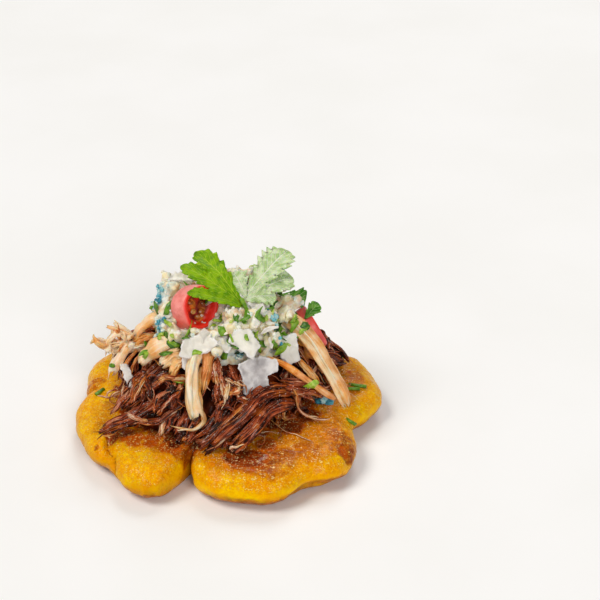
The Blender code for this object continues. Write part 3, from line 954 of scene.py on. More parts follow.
class Tube(Template):
    """A closed tube along which strands are swept; their undersides carry painted shade, darker by a share.
    """

    underside_shade = 0.32

    def __init__(self, sides: int, rings: int) -> None:
        """Makes the straight tube; it has a ring of sides points at each whole number of its axis.

        Args:
            sides: How many points are in a ring.
            rings: How many rings there are.
        """
        bm = bmesh.new()
        bmesh.ops.create_cone(bm, cap_ends=True, segments=sides, radius1=1.0, radius2=1.0, depth=rings - 1)
        lengthwise = [edge for edge in bm.edges if abs(edge.verts[0].co.z - edge.verts[1].co.z) > 0.5]
        bmesh.ops.subdivide_edges(bm, edges=lengthwise, cuts=rings - 2, use_grid_fill=True)
        super().__init__(bm)
        self.rings = rings
        self.waves = (2, 3, 4, 5) if sides < 14 else (2, 3, 5, 7)
        self.ring = np.rint(self.points[:, 2] + (rings - 1) / 2).astype(int)
        self.angle = np.arctan2(self.points[:, 1], self.points[:, 0]) % FULL_TURN
        self.corner_turn = self.angle[self.corners]
        for start, end in zip(self.starts, np.append(self.starts[1:], len(self.corners))):
            part = self.corner_turn[start:end]
            if end - start == 4 and part.max() - part.min() > math.pi:
                part[part < math.pi] += FULL_TURN

    def sweep(self, name: str, strands: list[Strand], ridge: float, waver: float, seed: int,
              ragged: float = 0.0) -> Piece:
        """Sweeps the tube along many strands, whose flat sides face away from the heap's middle.

        Args:
            name: The piece's name.
            strands: The strands.
            ridge: How deep the ridges along a strand are, as a share of its size.
            waver: How far a strand wanders off its way, as a share of its width.
            seed: Seeds the random differences.
            ragged: How uneven the ends are, in mm.

        Returns:
            The joined piece.
        """
        draw = np.random.default_rng(seed)
        each = (len(strands), 1)
        ways = np.stack([smooth_way(strand.way, self.rings) for strand in strands])
        width, depth, tone, tip, roll, twist = (
            np.array([getattr(strand, label) for strand in strands])[:, None]
            for label in ("width", "depth", "tone", "tip", "roll", "twist"))
        share = np.linspace(0.0, 1.0, self.rings)[None]
        tangent = unit(np.gradient(ways, axis=1))
        outward = unit(ways - HEAP_HEART)
        for row, strand in enumerate(strands):
            if strand.face is not None:
                outward[row] = strand.face
        face = unit(outward - tangent * np.sum(outward * tangent, axis=-1, keepdims=True))
        side = np.cross(tangent, face)
        turn = (roll + twist * share)[..., None]
        face, side = face * np.cos(turn) + side * np.sin(turn), side * np.cos(turn) - face * np.sin(turn)
        for axis in (face, side):
            speed, phase = draw.uniform(1.0, 3.2, each) * FULL_TURN, draw.uniform(0.0, FULL_TURN, each)
            ways = ways + axis * (np.sin(speed * share + phase) * waver * width)[..., None]
        size = np.minimum(tip + (1 - tip) * np.sqrt(np.minimum(share / 0.15, 1.0)),
                          tip + (1 - tip) * np.sqrt(np.minimum((1 - share) / 0.22, 1.0)))
        size = size * (1.0 + 0.16 * np.sin(draw.uniform(4.0, 12.0, each) * share
                                           + draw.uniform(0.0, FULL_TURN, each)))
        theta, relief, torn = self.angle[None], 1.0, 0.0
        for waves in self.waves:
            drift = draw.uniform(-1.6, 1.6, each) * share[:, self.ring]
            phase = draw.uniform(0.0, FULL_TURN, each)
            depth_here = ridge * draw.uniform(0.25, 1.0, each)
            wave = np.cos(waves * theta + phase + drift)
            relief = relief + depth_here * wave
            torn = torn + wave * draw.uniform(0.3, 1.0, each)
        relief = relief * size[:, self.ring]
        torn = torn * ragged * ease(np.abs(2 * share[:, self.ring] - 1), 0.72, 1.0) * width
        places = (ways[:, self.ring] + face[:, self.ring] * (np.cos(theta) * relief * depth)[..., None]
                  + side[:, self.ring] * (np.sin(theta) * relief * width)[..., None]
                  + tangent[:, self.ring] * torn[..., None])
        length = np.linalg.norm(np.diff(ways, axis=1), axis=-1).sum(axis=1)[:, None]
        along = share[0][self.ring[self.corners][None]] * length + draw.uniform(0.0, 400.0, each)
        across = self.corner_turn[None] * 0.5 * (width + depth) + draw.uniform(0.0, 90.0, each)
        # Painted shade: each strand is darker on the side that faces the heap's middle.
        shaded = tone - self.underside_shade * (0.5 - 0.5 * np.cos(theta + turn[:, self.ring, 0]))
        return self.repeat(name, places, shaded, np.stack([along, across], axis=-1))


def frayed(strand: Strand, count: int, loose: float, draw: Draw) -> list[Strand]:
    """Fine threads that run along a shred and stand out past its end.

    Args:
        strand: The shred.
        count: How many threads there are.
        loose: How far a thread may stand out past the end, in mm.
        draw: The random numbers.

    Returns:
        The threads.
    """
    way = smooth_way(strand.way, 12)
    tangent = unit(np.gradient(way, axis=0))
    side = unit(np.cross(tangent, UP))
    up = np.cross(side, tangent)
    threads = []
    for _ in range(count):
        angle = draw.uniform(-1.5, 1.5)
        start, end = int(draw.integers(0, 4)), int(draw.integers(8, 12))
        offset = side * math.sin(angle) * strand.width * 0.9 + up * math.cos(angle) * strand.depth * 0.9
        part = (way + offset)[start:end + 1:2]
        if draw.random() < 0.6:
            ahead = tangent[end] + draw.normal(0.0, 0.35, 3)
            part = np.vstack([part, part[-1] + ahead * draw.uniform(0.3, 1.0) * loose])
        radius = draw.uniform(0.14, 0.30)
        tone = float(np.clip(strand.tone + draw.normal(0.06, 0.14), 0.0, 1.0))
        threads.append(Strand(part, radius, radius * 0.8, tone, 0.4))
    return threads


@dataclass(frozen=True)
class Mound:
    """A heap with an oval foot; sizes in mm, shape as two exponents, outline as degrees and shares."""

    centre: tuple[float, float]
    reach: tuple[float, float]
    base: float
    top: float
    breadth: float
    steepness: float
    outline: tuple[tuple[float, float], ...] = ((0.0, 1.0),)
    foot_share: float = 0.14

    def edge(self, angle: Array | float) -> Array:
        """How much further or less far than the oval the foot reaches, at angles in radians."""
        azimuths, shares = np.array(self.outline).T
        return np.interp(np.degrees(angle), azimuths, shares, period=360.0)

    def share_at(self, x: Array | float, y: Array | float) -> Array:
        """How far out a plan place is, 1 on the outline."""
        across, up = (x - self.centre[0]) / self.reach[0], (y - self.centre[1]) / self.reach[1]
        return np.hypot(across, up) / self.edge(np.arctan2(up, across))

    def profile(self, share: Array | float, foot: float) -> Array:
        """The surface's height in mm at a share of the reach.

        Args:
            share: How far out, 1 on the outline.
            foot: How much of the foot's height counts, from 0 to 1.

        Returns:
            The height.
        """
        rise = np.maximum(0.0, 1.0 - np.minimum(share, 1.0) ** self.breadth) ** self.steepness
        low = self.foot_share * (self.top - self.base)
        return self.base + low * foot + (self.top - self.base - low) * rise

    def height(self, x: Array | float, y: Array | float) -> Array:
        """The heap's surface above a plan place, in mm."""
        share = self.share_at(x, y)
        return self.profile(share, np.clip(1.0 - (share - 1.0) * 7.0, 0.0, 1.0))

    def spot(self, azimuth: float, share: float) -> tuple[float, float]:
        """The plan place at an azimuth in degrees and a share of the reach.

        Args:
            azimuth: The azimuth.
            share: The share, 1 on the outline.

        Returns:
            The place in mm.
        """
        angle = math.radians(azimuth)
        out = share * float(self.edge(angle))
        return (self.centre[0] + self.reach[0] * out * math.cos(angle),
                self.centre[1] + self.reach[1] * out * math.sin(angle))

    def core(self, name: str, shrink: float, lump: float, size: float) -> Piece:
        """A lumpy closed body of the heap's shape.

        Args:
            name: The piece's name.
            shrink: How far inside the heap's surface it stays, in mm.
            lump: The height of its lumps in mm.
            size: The size of its lumps in mm.

        Returns:
            The piece.
        """
        bm = bmesh.new()
        bmesh.ops.create_uvsphere(bm, u_segments=96, v_segments=48, radius=1.0)
        for vert in bm.verts:
            edge = float(self.edge(math.atan2(vert.co.y, vert.co.x)))
            x = self.centre[0] + (self.reach[0] * edge - shrink) * vert.co.x
            y = self.centre[1] + (self.reach[1] * edge - shrink) * vert.co.y
            z = float(self.profile(math.hypot(vert.co.x, vert.co.y), 1.0)) - shrink
            vert.co = Vector((x, y, z if vert.co.z >= -0.01 else self.base - 0.2)) * MM
        bmesh.ops.recalc_face_normals(bm, faces=bm.faces)
        piece = piece_from(bm, name)
        skin = Skin(piece)
        above = ease(skin.points[:, 2], self.base, self.base + 1.5)
        skin.push(above * lump * (noise_over(skin.points, size, self.top, 3)
                                  + 0.5 * noise_over(skin.points, size * 0.4, self.base, 2)))
        skin.write()
        return shade(piece)


class Surface:
    """The outside of finished pieces, for laying small things on."""

    def __init__(self, pieces: list[Piece]) -> None:
        """Gathers the pieces' faces.

        Args:
            pieces: The pieces.
        """
        bm = bmesh.new()
        for piece in pieces:
            bm.from_mesh(piece.data)
        self.tree = BVHTree.FromBMesh(bm)
        bm.free()

    def strike(self, start: Array, toward: Array) -> tuple[Array, Array] | None:
        """Finds where a straight line first meets the surface.

        Args:
            start: Where the line starts, in mm.
            toward: A place that it runs through, in mm.

        Returns:
            The place in mm and the outward normal, or None.
        """
        origin = Vector(start) * MM
        place, normal, _, _ = self.tree.ray_cast(origin, (Vector(toward) * MM - origin).normalized())
        if place is None:
            return None
        return np.array(place) / MM, np.array(-normal if normal.dot(place - origin) > 0.0 else normal)

    def near(self, aim: Array, heart: Array) -> tuple[Array, Array] | None:
        """Finds the surface outside a place, seen from a heart."""
        return self.strike(heart + (aim - heart) * 3.0, heart)


def blocked(places: tuple | list, keep_clear: Clear) -> bool:
    """Whether any of some places is too close to something that should stay in sight.

    Args:
        places: The places in mm.
        keep_clear: What stays in sight: places in mm, each with a distance.

    Returns:
        Whether one is too close.
    """
    points = np.array(places)
    return any(np.min(np.linalg.norm(points[:, None] - spots[None], axis=-1)) < reach
               for spots, reach in keep_clear)


def any_turn(draw: Draw) -> float:
    """A random angle."""
    return draw.uniform(0.0, FULL_TURN)


def any_tone(draw: Draw, middle: float, spread: float, low: float = 0.0, high: float = 0.95) -> float:
    """A random tone about a middle, kept between two bounds."""
    return float(np.clip(draw.normal(middle, spread), low, high))


def laid(shape: Array, place: Array, normal: Array, spin: float, lift: float) -> Array:
    """Lays a small shape on a surface.

    Args:
        shape: Its points in mm, with its flat side along X and Y.
        place: Where it lies, in mm.
        normal: The direction that it faces.
        spin: Its turn about that direction.
        lift: How far it stands off the surface, in mm.

    Returns:
        Its points in mm.
    """
    turn = Vector(normal).to_track_quat("Z", "Y").to_matrix() @ Matrix.Rotation(spin, 3, "Z")
    return shape @ np.array(turn).T + place + normal * lift


def serve(piece: Piece, finish: Material, slot: str, *nodes: str) -> Piece:
    """Dresses a finished piece and hands it to the frame.

    Args:
        piece: The piece.
        finish: Its material.
        slot: The record's material slot for the piece; not used.
        nodes: The CAD nodes that it stands for.

    Returns:
        The piece.
    """
    piece.data.materials.clear()
    piece.data.materials.append(finish)
    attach(piece, "root")
    if nodes:
        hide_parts(*nodes)
    LOG.info("%s: %d faces", piece.name, len(piece.data.polygons))
    return piece


# ---------------------------------------------------------------------------------------------
# The sizes that several pieces share
# ---------------------------------------------------------------------------------------------

BEEF_HEAP = Mound((-1.0, 2.0), (31.0, 27.0), 10.3, 27.5, 2.0, 0.55, (
    (0.0, 0.95), (12.0, 1.06), (30.0, 1.05), (60.0, 1.0), (150.0, 0.98), (170.0, 0.91), (185.0, 0.88),
    (197.0, 0.93), (215.0, 1.03), (236.0, 0.98), (248.0, 0.9), (262.0, 0.94), (275.0, 0.94), (287.0, 0.88),
    (304.0, 0.78), (326.0, 0.78), (345.0, 0.85)))
CHICKEN_HEAP = Mound((-0.5, 4.5), (22.0, 18.5), 23.0, 28.6, 2.0, 0.55)
CHEESE_HEAP = Mound((0.2, 6.5), (21.0, 17.2), 24.2, 38.0, 4.0, 0.5)
HEAP_HEART = np.array((0.0, 3.0, 8.0))


def plans(kind: type, *rows: tuple) -> tuple:
    """Makes a plan of each row of its values."""
    return tuple(kind(*row) for row in rows)


# ---------------------------------------------------------------------------------------------
# Sub-assemblies
# ---------------------------------------------------------------------------------------------

@dataclass
class PlantainDisc:
    """The smashed and fried plantain slice."""

    voxel: float = 0.42
    flat_share: float = 0.74
    rim_share: float = 0.92
    puff: float = 0.50
    crinkle: float = 0.16
    pit: float = 0.09
    # How much further in the outline goes than the plain disc's: azimuth in degrees, mm.
    bites: tuple[Span, ...] = (
        (0.0, 0.0), (330.0, 0.0), (338.0, 0.6), (345.0, 1.6), (352.0, 1.0), (358.0, 0.0), (236.0, 0.0),
        (241.0, -0.6), (244.5, -1.6), (245.8, -0.8), (247.0, 4.4), (248.2, 6.8), (250.0, 4.2), (254.0, 1.6),
        (260.0, 0.8), (268.0, 0.4), (275.0, 0.0))
    # Folds in the crust: width and depth, then the places that they run through, all in mm.
    creases: tuple[tuple[float, float, tuple[Place, ...]], ...] = (
        (0.75, 1.2, ((-32.4, -14.0, 9.4), (-32.2, -17.5, 9.0), (-31.7, -23.0, 8.2), (-30.8, -27.5, 5.6),
         (-30.0, -31.0, 2.4))), (0.7, 0.7, ((-11.4, -27.0, 6.0), (-10.8, -26.0, 8.5), (-9.2, -23.6, 10.2))),
        (0.9, 0.45, ((28.6, -24.6, 9.0), (29.2, -27.0, 7.4), (29.8, -29.0, 5.4))),
        (2.0, 1.0, ((17.0, -37.6, 2.4), (21.0, -35.8, 3.4), (25.0, -33.6, 3.2), (28.0, -31.6, 2.2))),
        (0.8, 1.0, ((2.0, 37.0, 6.6), (3.6, 32.0, 9.2), (3.0, 27.0, 10.5))),
        (0.8, 0.9, ((-27.0, 31.0, 5.0), (-23.0, 26.0, 9.8))),
        (0.7, 0.9, ((36.0, 18.0, 6.6), (30.0, 17.0, 10.2))),
        (0.7, 0.8, ((-41.0, 6.0, 5.0), (-36.0, 5.0, 9.6))))
    # Toasted places: plan place, reach and strength.
    scorched: tuple[tuple[float, float, float, float], ...] = (
        (-33.6, -14.4, 3.6, 0.3), (-28.0, -17.0, 3.2, 0.35), (12.0, -31.0, 7.0, 0.85),
        (4.4, -31.5, 5.5, 0.9), (30.0, -22.0, 5.5, 0.85), (31.2, -26.2, 3.4, 1.0), (-35.2, -20.6, 0.9, 1.0),
        (-10.0, -25.4, 5.0, 0.8), (-18.0, -24.0, 3.5, 0.5), (20.0, -27.0, 4.0, 0.5), (26.0, 24.0, 6.0, 0.7),
        (-24.0, 24.0, 6.5, 0.8), (-37.0, 8.0, 3.0, 0.5), (2.0, 35.0, 6.0, 0.8), (36.0, 4.0, 3.5, 0.5))
    # Places where the juice has run out: plan place, reach and strength.
    spilled: tuple[tuple[float, float, float, float], ...] = (
        (5.6, -30.4, 4.6, 1.0), (1.6, -29.6, 3.2, 0.9), (-14.5, -21.8, 3.6, 1.0), (-9.2, -22.6, 3.4, 1.0),
        (-27.6, -16.6, 2.6, 1.0), (-31.0, -17.6, 2.2, 0.8), (21.5, -12.0, 4.6, 0.9),
        (16.6, -17.6, 4.0, 0.8), (10.0, -25.0, 3.4, 0.7), (30.0, -27.0, 1.3, 0.55),
        (-25.0, -19.8, 3.4, 0.45), (-20.0, -20.8, 3.6, 0.5), (-15.5, -23.6, 3.8, 0.5),
        (-33.0, -9.0, 3.6, 0.12), (-31.5, -4.5, 3.2, 0.18))

    def build(self, shared: SharedEffects) -> Piece:
        """Builds the disc from its CAD node, with its crust's relief and browning.

        Args:
            shared: The shared effects.

        Returns:
            The disc.
        """
        bm = bmesh.new()
        bm.from_mesh(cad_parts["plantain"].data)
        bmesh.ops.remove_doubles(bm, verts=bm.verts, dist=0.005 * MM)
        disc = piece_from(bm, "plantain_disc")
        reskin(disc, self.voxel, 6)
        skin = Skin(disc)
        out, rim = self.outline(skin.points)
        azimuths, cuts = np.array(self.bites).T
        cut = np.interp(np.degrees(np.arctan2(skin.points[:, 1], skin.points[:, 0])), azimuths, cuts,
                        period=360.0)
        skin.points[:, :2] *= (1.0 - cut * ease(out / rim, 0.5, 1.0) / rim)[:, None]
        out, rim = self.outline(skin.points)
        shoulder = ease(out / rim, self.flat_share, self.rim_share)
        relief = self.puff * shoulder * noise_over(skin.points, 8.0, 1.0, 2)
        relief += self.crinkle * noise_over(skin.points, 2.6, 2.0, 3) * (1.15 - 0.55 * shoulder)
        relief += self.pit * noise_over(skin.points, 1.5, 3.0, 1, "VORONOI_F1") * (1.2 - 0.5 * shoulder)
        skin.push(relief * ease(skin.points[:, 2], 0.2, 2.2))
        for width, depth, way in self.creases:
            gaps = np.linalg.norm(skin.points[:, None] - smooth_way(way, 40)[None], axis=-1)
            way = skin.points[np.argmin(gaps, axis=0)]
            away = np.min(np.linalg.norm(skin.points[:, None] - way[None], axis=-1), axis=1)
            skin.push(-depth * np.exp(-(away / width) ** (1.3 if width < 1.0 else 2.2)))
        skin.points[:, 2] = np.maximum(skin.points[:, 2], 0.0)
        skin.write()
        self.brown(Skin(disc), out, rim)
        return serve(disc, FriedCrust().material(shared), "fried_plantain", "plantain")

    @staticmethod
    def outline(points: Array) -> tuple[Array, Array]:
        """Each point's distance from the middle, and the disc's radius in its direction.

        Args:
            points: The disc's points in mm.

        Returns:
            Both in mm.
        """
        steps = 240
        out = np.hypot(points[:, 0], points[:, 1])
        step = ((np.arctan2(points[:, 1], points[:, 0]) / FULL_TURN % 1.0) * steps).astype(int) % steps
        radius = np.zeros(steps)
        np.maximum.at(radius, step, out)
        radius = sum(np.roll(radius, shift) for shift in (-2, -1, 0, 1, 2)) / 5.0
        return out, radius[step]

    def brown(self, skin: Skin, out: Array, rim: Array) -> None:
        """Paints where the crust is toasted, stained, hollow or charred; the hollow mask is partly browning,
        partly painted shade.

        Args:
            skin: The finished surface.
            out: Each point's distance from the middle.
            rim: The disc's radius in each point's direction.
        """
        points, facing_up = skin.points, skin.normals[:, 2]
        x, height = points[:, 0], points[:, 2]
        wander = noise_over(points, 9.0, 5.0, 3)
        fine = noise_over(points, 2.2, 6.0, 3)

        def spots(marks: tuple, roam: float, hard: float) -> Array:
            """How strongly each point is marked by places with a reach and a strength.

            Args:
                marks: Each a place in mm, a reach and a strength.
                roam: How far the edge wanders, as a share of the reach.
                hard: Up to which share of the reach a mark is at its strongest.

            Returns:
                The strengths, from 0 to 1.
            """
            most = np.zeros(len(points))
            for mark_x, mark_y, reach, strength in marks:
                away = np.hypot(x - mark_x, points[:, 1] - mark_y) / reach + roam * wander + 0.30 * fine
                most = np.maximum(most, strength * ease(away, 1.15, hard))
            return most

        up = ease(facing_up, 0.15, 0.55)
        flat = 1.0 - ease(out / rim + 0.05 * wander + 0.04 * fine, 0.85, 0.95)
        right = ease(x, -26.0, -2.0)
        near = BEEF_HEAP.share_at(x, points[:, 1]) + 0.12 * wander + 0.10 * fine
        glaze = ease(near, 1.32, 1.02) * (0.7 + 0.25 * right) * ease(x, -34.0, -27.0)
        skin.paint("toast", flat * up * np.maximum(0.06 + 0.84 * right + 0.5 * fine, glaze))
        stain = ease(near, 1.06 + 0.04 * right, 0.94 + 0.03 * right)
        skin.paint("stain", np.maximum(stain, spots(self.spilled, 0.35, 0.55)) * up)
        skin.paint("scorch", spots(self.scorched, 0.45, 0.35) * ease(height, 3.0, 6.0))
        # Which parts face up: where the painted glints and most of the gloss go.
        skin.paint("upper", ease(facing_up + 0.12 * fine, 0.12, 0.5) * ease(height + 0.6 * wander, 4.0, 8.0))
        # Hollows: browning in the creases and painted shade where the surface dips.
        skin.paint("hollow", ease(skin.hollows(10), 0.12, 0.45))
        low = ease(height + 0.6 * wander + 0.4 * fine, 2.6, 0.6) * 0.9
        middle = ease(x, -16.0, -4.0)
        amber = ease(height + 1.2 * wander + 0.5 * fine + 3.2 * middle, 8.4, 1.6) * (0.62 - 0.16 * middle)
        turned = ease(facing_up + 0.20 * fine + 0.20 * wander, 0.10, -0.60) * 0.9 * ease(height, 6.0, 3.5)
        skin.paint("char", np.maximum(np.maximum(low, amber), turned))


@dataclass(frozen=True)
class BundlePlan:
    """Meat fibres that lie together: their way, then breadth, thickness and half a fibre's width in mm."""

    way: tuple[Place, ...]
    breadth: float
    thickness: float
    fibre: float
    tone: float
    ragged: float = 0.16
    fan: float = 1.15
    fine: float = 1.0
    face: Place | None = None
    tip: float = 0.45


@dataclass(frozen=True)
class LooseKind:
    """What loose bundles are like: spans for size in mm, middle and spread and lowest of their tone."""

    breadth: Span
    thickness: Span
    fibre: Span
    tone: Place
    ragged: float
    fan: Span
    fine: float

    def plan(self, way: tuple[Place, ...], draw: Draw) -> BundlePlan:
        """Draws one bundle along a way; what has no width isn't drawn.

        Args:
            way: Where the bundle lies, in mm.
            draw: The random numbers.

        Returns:
            The bundle's plan.
        """
        def pick(span: Span) -> float:
            """A number within a span."""
            return span[0] if span[0] == span[1] else draw.uniform(*span)

        tone = any_tone(draw, *self.tone)
        return BundlePlan(way, pick(self.breadth), pick(self.thickness), pick(self.fibre), tone, self.ragged,
                          pick(self.fan), self.fine)


@dataclass
class MeatHeap:
    """What the two pulled meats have in common."""

    slab: Tube = field(default_factory=lambda: Tube(16, 17))
    shred: Tube = field(default_factory=lambda: Tube(6, 12))
    thread: Tube = field(default_factory=lambda: Tube(5, 10))
    slab_width: float = 0.72

    def parted(self, fibres: list[Strand]) -> tuple[list[Strand], list[Strand]]:
        """Parts the broad fibres from the thin ones."""
        broad = [fibre for fibre in fibres if fibre.width > self.slab_width]
        return broad, [fibre for fibre in fibres if fibre.width <= self.slab_width]

    @staticmethod
    def bundle(plan: BundlePlan, draw: Draw) -> list[Strand]:
        """Fills a bundle's oval section with fibres.

        Args:
            plan: What the bundle is like.
            draw: The random numbers.

        Returns:
            The fibres.
        """
        steps = 14
        line = smooth_way(plan.way, steps)
        ahead = unit(np.gradient(line, axis=0))
        outward = line - HEAP_HEART if plan.face is None else np.array(plan.face)
        up = unit(outward - ahead * np.sum(outward * ahead, axis=1, keepdims=True))
        side = np.cross(ahead, up)
        share = np.linspace(0.0, 1.0, steps)[:, None]
        spread = (0.72 + (plan.fan - 0.72) * share) * (1.0 - 0.25 * (2 * share - 1) ** 4)

        def fibre(across: float, height: float, half: float, flat: float, tip: float) -> Strand:
            """One fibre at a place of the section.

            Args:
                across: Its place across, from -1 to 1.
                height: Its height above the way, in mm.
                half: Half its width in mm.
                flat: Its thickness as a share of its width.
                tip: How thick its ends are, as a share.

            Returns:
                The fibre.
            """
            start = int(round(draw.uniform(0.0, plan.ragged) * steps))
            end = steps - int(round(draw.uniform(0.0, plan.ragged * 1.6) * steps))
            drift = across + draw.normal(0.0, 0.14) * share
            moved = line + side * drift * plan.breadth / 2 * spread + up * height
            # Painted shade: fibres below the bundle's way are darker.
            tone = any_tone(draw, plan.tone, 0.10, high=1.0) - (0.16 if height < 0.0 else 0.0)
            return Strand(moved[start:end], half, half * flat, tone, tip, draw.uniform(-0.5, 0.5),
                          draw.uniform(-0.8, 0.8), plan.face)

        fibres = []
        columns = max(1, round(plan.breadth / (3.1 * plan.fibre)))
        rows = max(1, round(plan.thickness / (2.4 * plan.fibre)))
        for column in range(columns if plan.breadth > 2.6 * plan.fibre else 0):
            across = (2 * column + 1 + draw.uniform(-0.4, 0.4)) / columns - 1
            arch = math.sqrt(1 - min(across * across, 1.0) * 0.8) * plan.thickness / 2
            for row in range(rows):
                height = arch * (1.0 - 2.0 * row / rows) + draw.uniform(-0.25, 0.25)
                fibres.append(fibre(across * 0.85, height, 2.0 * plan.fibre * draw.uniform(0.75, 1.2),
                                    draw.uniform(0.45, 0.7), plan.tip))
        for _ in range(max(round(plan.fine * plan.breadth / (2.2 * plan.fibre)), 0 if fibres else 2)):
            across = draw.uniform(-1.05, 1.05)
            height = math.sqrt(1.1 - across * across * 0.8) * plan.thickness / 2 + 0.7 * plan.fibre
            fibres.append(fibre(across, height * draw.uniform(0.7, 1.1),
                                plan.fibre * draw.uniform(0.55, 1.0), draw.uniform(0.6, 0.9), 0.3))
        return fibres

    def loose(self, way: tuple[Place, ...], keep_clear: Clear, kind: LooseKind, draw: Draw) -> list[Strand]:
        """The fibres of a loose bundle, or none where it would hide something."""
        return [] if blocked(way, keep_clear) else self.bundle(kind.plan(way, draw), draw)

    @staticmethod
    def combed(x: float, y: float, heading: float, bend: float, length: float, lift: float,
               *ground: Mound) -> tuple[Place, ...]:
        """A way over the heap, the same length whether the heap is flat or steep there.

        Args:
            x: A plan place that it runs through, in mm.
            y: The same.
            heading: Its direction there in the plan, in degrees.
            bend: How far it turns from end to end, in degrees.
            length: Its length in mm.
            lift: How far it lies above the ground in its middle, in mm.
            ground: What it lies on.

        Returns:
            Nine places in mm.
        """
        def top(at_x: float, at_y: float) -> float:
            """The ground's height."""
            return max([BEEF_HEAP.base + 0.3, *(float(mound.height(at_x, at_y)) for mound in ground
                                                if mound.share_at(at_x, at_y) < 1.0)])

        places = {0: (x, y, top(x, y) + lift)}
        for way in (-1, 1):
            here_x, here_y, angle = x, y, math.radians(heading)
            for step in range(1, 5):
                dx, dy = way * math.cos(angle), way * math.sin(angle)
                slope = top(here_x + 0.6 * dx, here_y + 0.6 * dy) - top(here_x, here_y)
                plan = length / 8 / math.hypot(1.0, slope / 0.6)
                here_x, here_y = here_x + dx * plan, here_y + dy * plan
                angle += way * math.radians(bend) / 8
                places[way * step] = (here_x, here_y, top(here_x, here_y) + lift * (1 - 0.14 * step))
        return tuple(places[step] for step in range(-4, 5))


BEEF_BUNDLES = plans(
    BundlePlan,
    (((16.9, -12.4, 19.0), (9.4, -16.5, 20.0), (4.2, -21.0, 17.6), (0.3, -23.6, 15.4), (-4.0, -26.6, 12.8),
     (-6.6, -28.4, 11.4)), 4.4, 3.0, 0.5, 0.46, 0.12, 0.8, 1.6),
    (((17.6, -14.6, 15.4), (13.5, -17.4, 16.8), (10.3, -19.8, 16.6), (6.6, -23.6, 14.6), (3.2, -26.2, 12.8),
     (0.4, -28.8, 11.4)), 4.2, 3.0, 0.5, 0.4, 0.12, 0.85, 1.6),
    (((17.2, -13.1, 19.8), (18.3, -15.0, 18.0), (18.9, -15.8, 14.0), (22.8, -16.0, 11.6),
     (26.8, -15.6, 10.9)), 0.9, 0.8, 0.42, 0.52, 0.02, 0.5, 0.4),
    (((13.5, -12.5, 20.0), (17.8, -12.0, 19.0), (22.0, -10.4, 17.0), (25.4, -8.6, 13.6)),
     4.6, 2.6, 0.55, 0.55),
    (((-14.0, -1.0, 23.4), (-17.4, -3.4, 21.4), (-21.4, -5.2, 18.6), (-25.4, -6.4, 15.6),
     (-29.2, -7.4, 12.4)), 3.8, 2.8, 0.55, 0.5),
    (((-11.5, -8.0, 22.8), (-17.0, -9.0, 20.2), (-22.0, -10.6, 17.0), (-27.0, -12.0, 13.4)),
     3.6, 2.6, 0.55, 0.4),
    (((-12.5, -14.4, 19.0), (-20.4, -15.0, 15.4), (-27.6, -16.6, 12.4), (-34.2, -19.4, 11.3)),
     4.0, 2.8, 0.5, 0.42, 0.12, 0.7, 1.4),
    (((-8.0, -14.6, 20.8), (-10.6, -15.8, 18.8), (-14.2, -17.1, 16.6), (-19.0, -19.0, 14.4),
     (-22.2, -18.6, 14.6), (-24.6, -18.2, 14.4)), 1.9, 1.6, 0.42, 0.52, 0.04, 0.7, 1.4),
    (((-20.6, -18.9, 14.4), (-22.8, -18.6, 15.0), (-24.8, -18.0, 15.6), (-26.2, -17.0, 15.6)),
     0.9, 0.8, 0.42, 0.88, 0.0, 0.8, 0.4),
    (((-12.6, -17.6, 15.6), (-16.2, -18.8, 13.8), (-17.4, -22.4, 11.4)), 1.6, 1.2, 0.45, 0.74),
    (((-9.6, -12.0, 22.2), (-13.6, -11.4, 22.6), (-17.9, -11.8, 21.6), (-20.1, -13.4, 19.4),
     (-19.2, -14.8, 17.8)), 1.5, 1.5, 0.5, 0.56, 0.02, 0.9),
    (((-2.9, -9.5, 26.6), (-3.0, -12.6, 25.4), (-2.4, -16.4, 23.0)), 3.4, 1.6, 0.42, 0.62, 0.2, 1.0),
    (((-0.8, -14.5, 23.9), (1.4, -15.8, 23.2), (3.4, -16.6, 22.6)), 1.4, 1.0, 0.4, 0.58),
    (((-20.6, -3.0, 20.6), (-24.0, -7.6, 17.4), (-28.4, -11.6, 14.4), (-30.6, -13.0, 13.0)),
     1.9, 1.7, 0.55, 0.58, 0.04, 0.9, 0.6),
    (((-21.4, 2.4, 21.6), (-23.8, 0.7, 19.4), (-25.0, -3.3, 17.0), (-25.6, -4.9, 15.2)),
     2.0, 1.6, 0.55, 0.62),
    (((-18.4, 0.4, 22.6), (-20.8, -1.8, 20.6), (-22.6, -4.6, 17.8)), 1.8, 1.5, 0.55, 0.7),
    (((-20.5, 9.0, 19.6), (-26.6, 5.0, 18.6), (-27.4, 0.5, 17.6), (-25.4, -5.0, 17.0)), 3.4, 2.4, 0.6, 0.4),
    (((-1.2, -12.5, 23.6), (-0.5, -15.9, 21.8), (-0.6, -19.4, 19.0)), 3.6, 2.2, 0.5, 0.46),
    (((3.4, -15.6, 20.8), (-1.0, -19.2, 18.0), (-4.8, -22.6, 14.4), (-9.0, -24.0, 11.6)),
     3.4, 2.2, 0.5, 0.3),
    (((21.0, 17.5, 15.6), (27.2, 16.6, 13.2), (31.0, 12.8, 12.0), (33.2, 7.0, 11.8)), 4.4, 2.6, 0.6, 0.42),
    (((20.0, 5.0, 20.4), (26.0, 6.0, 17.0), (31.0, 8.4, 13.6), (34.0, 9.6, 11.8)), 3.8, 2.4, 0.55, 0.4))


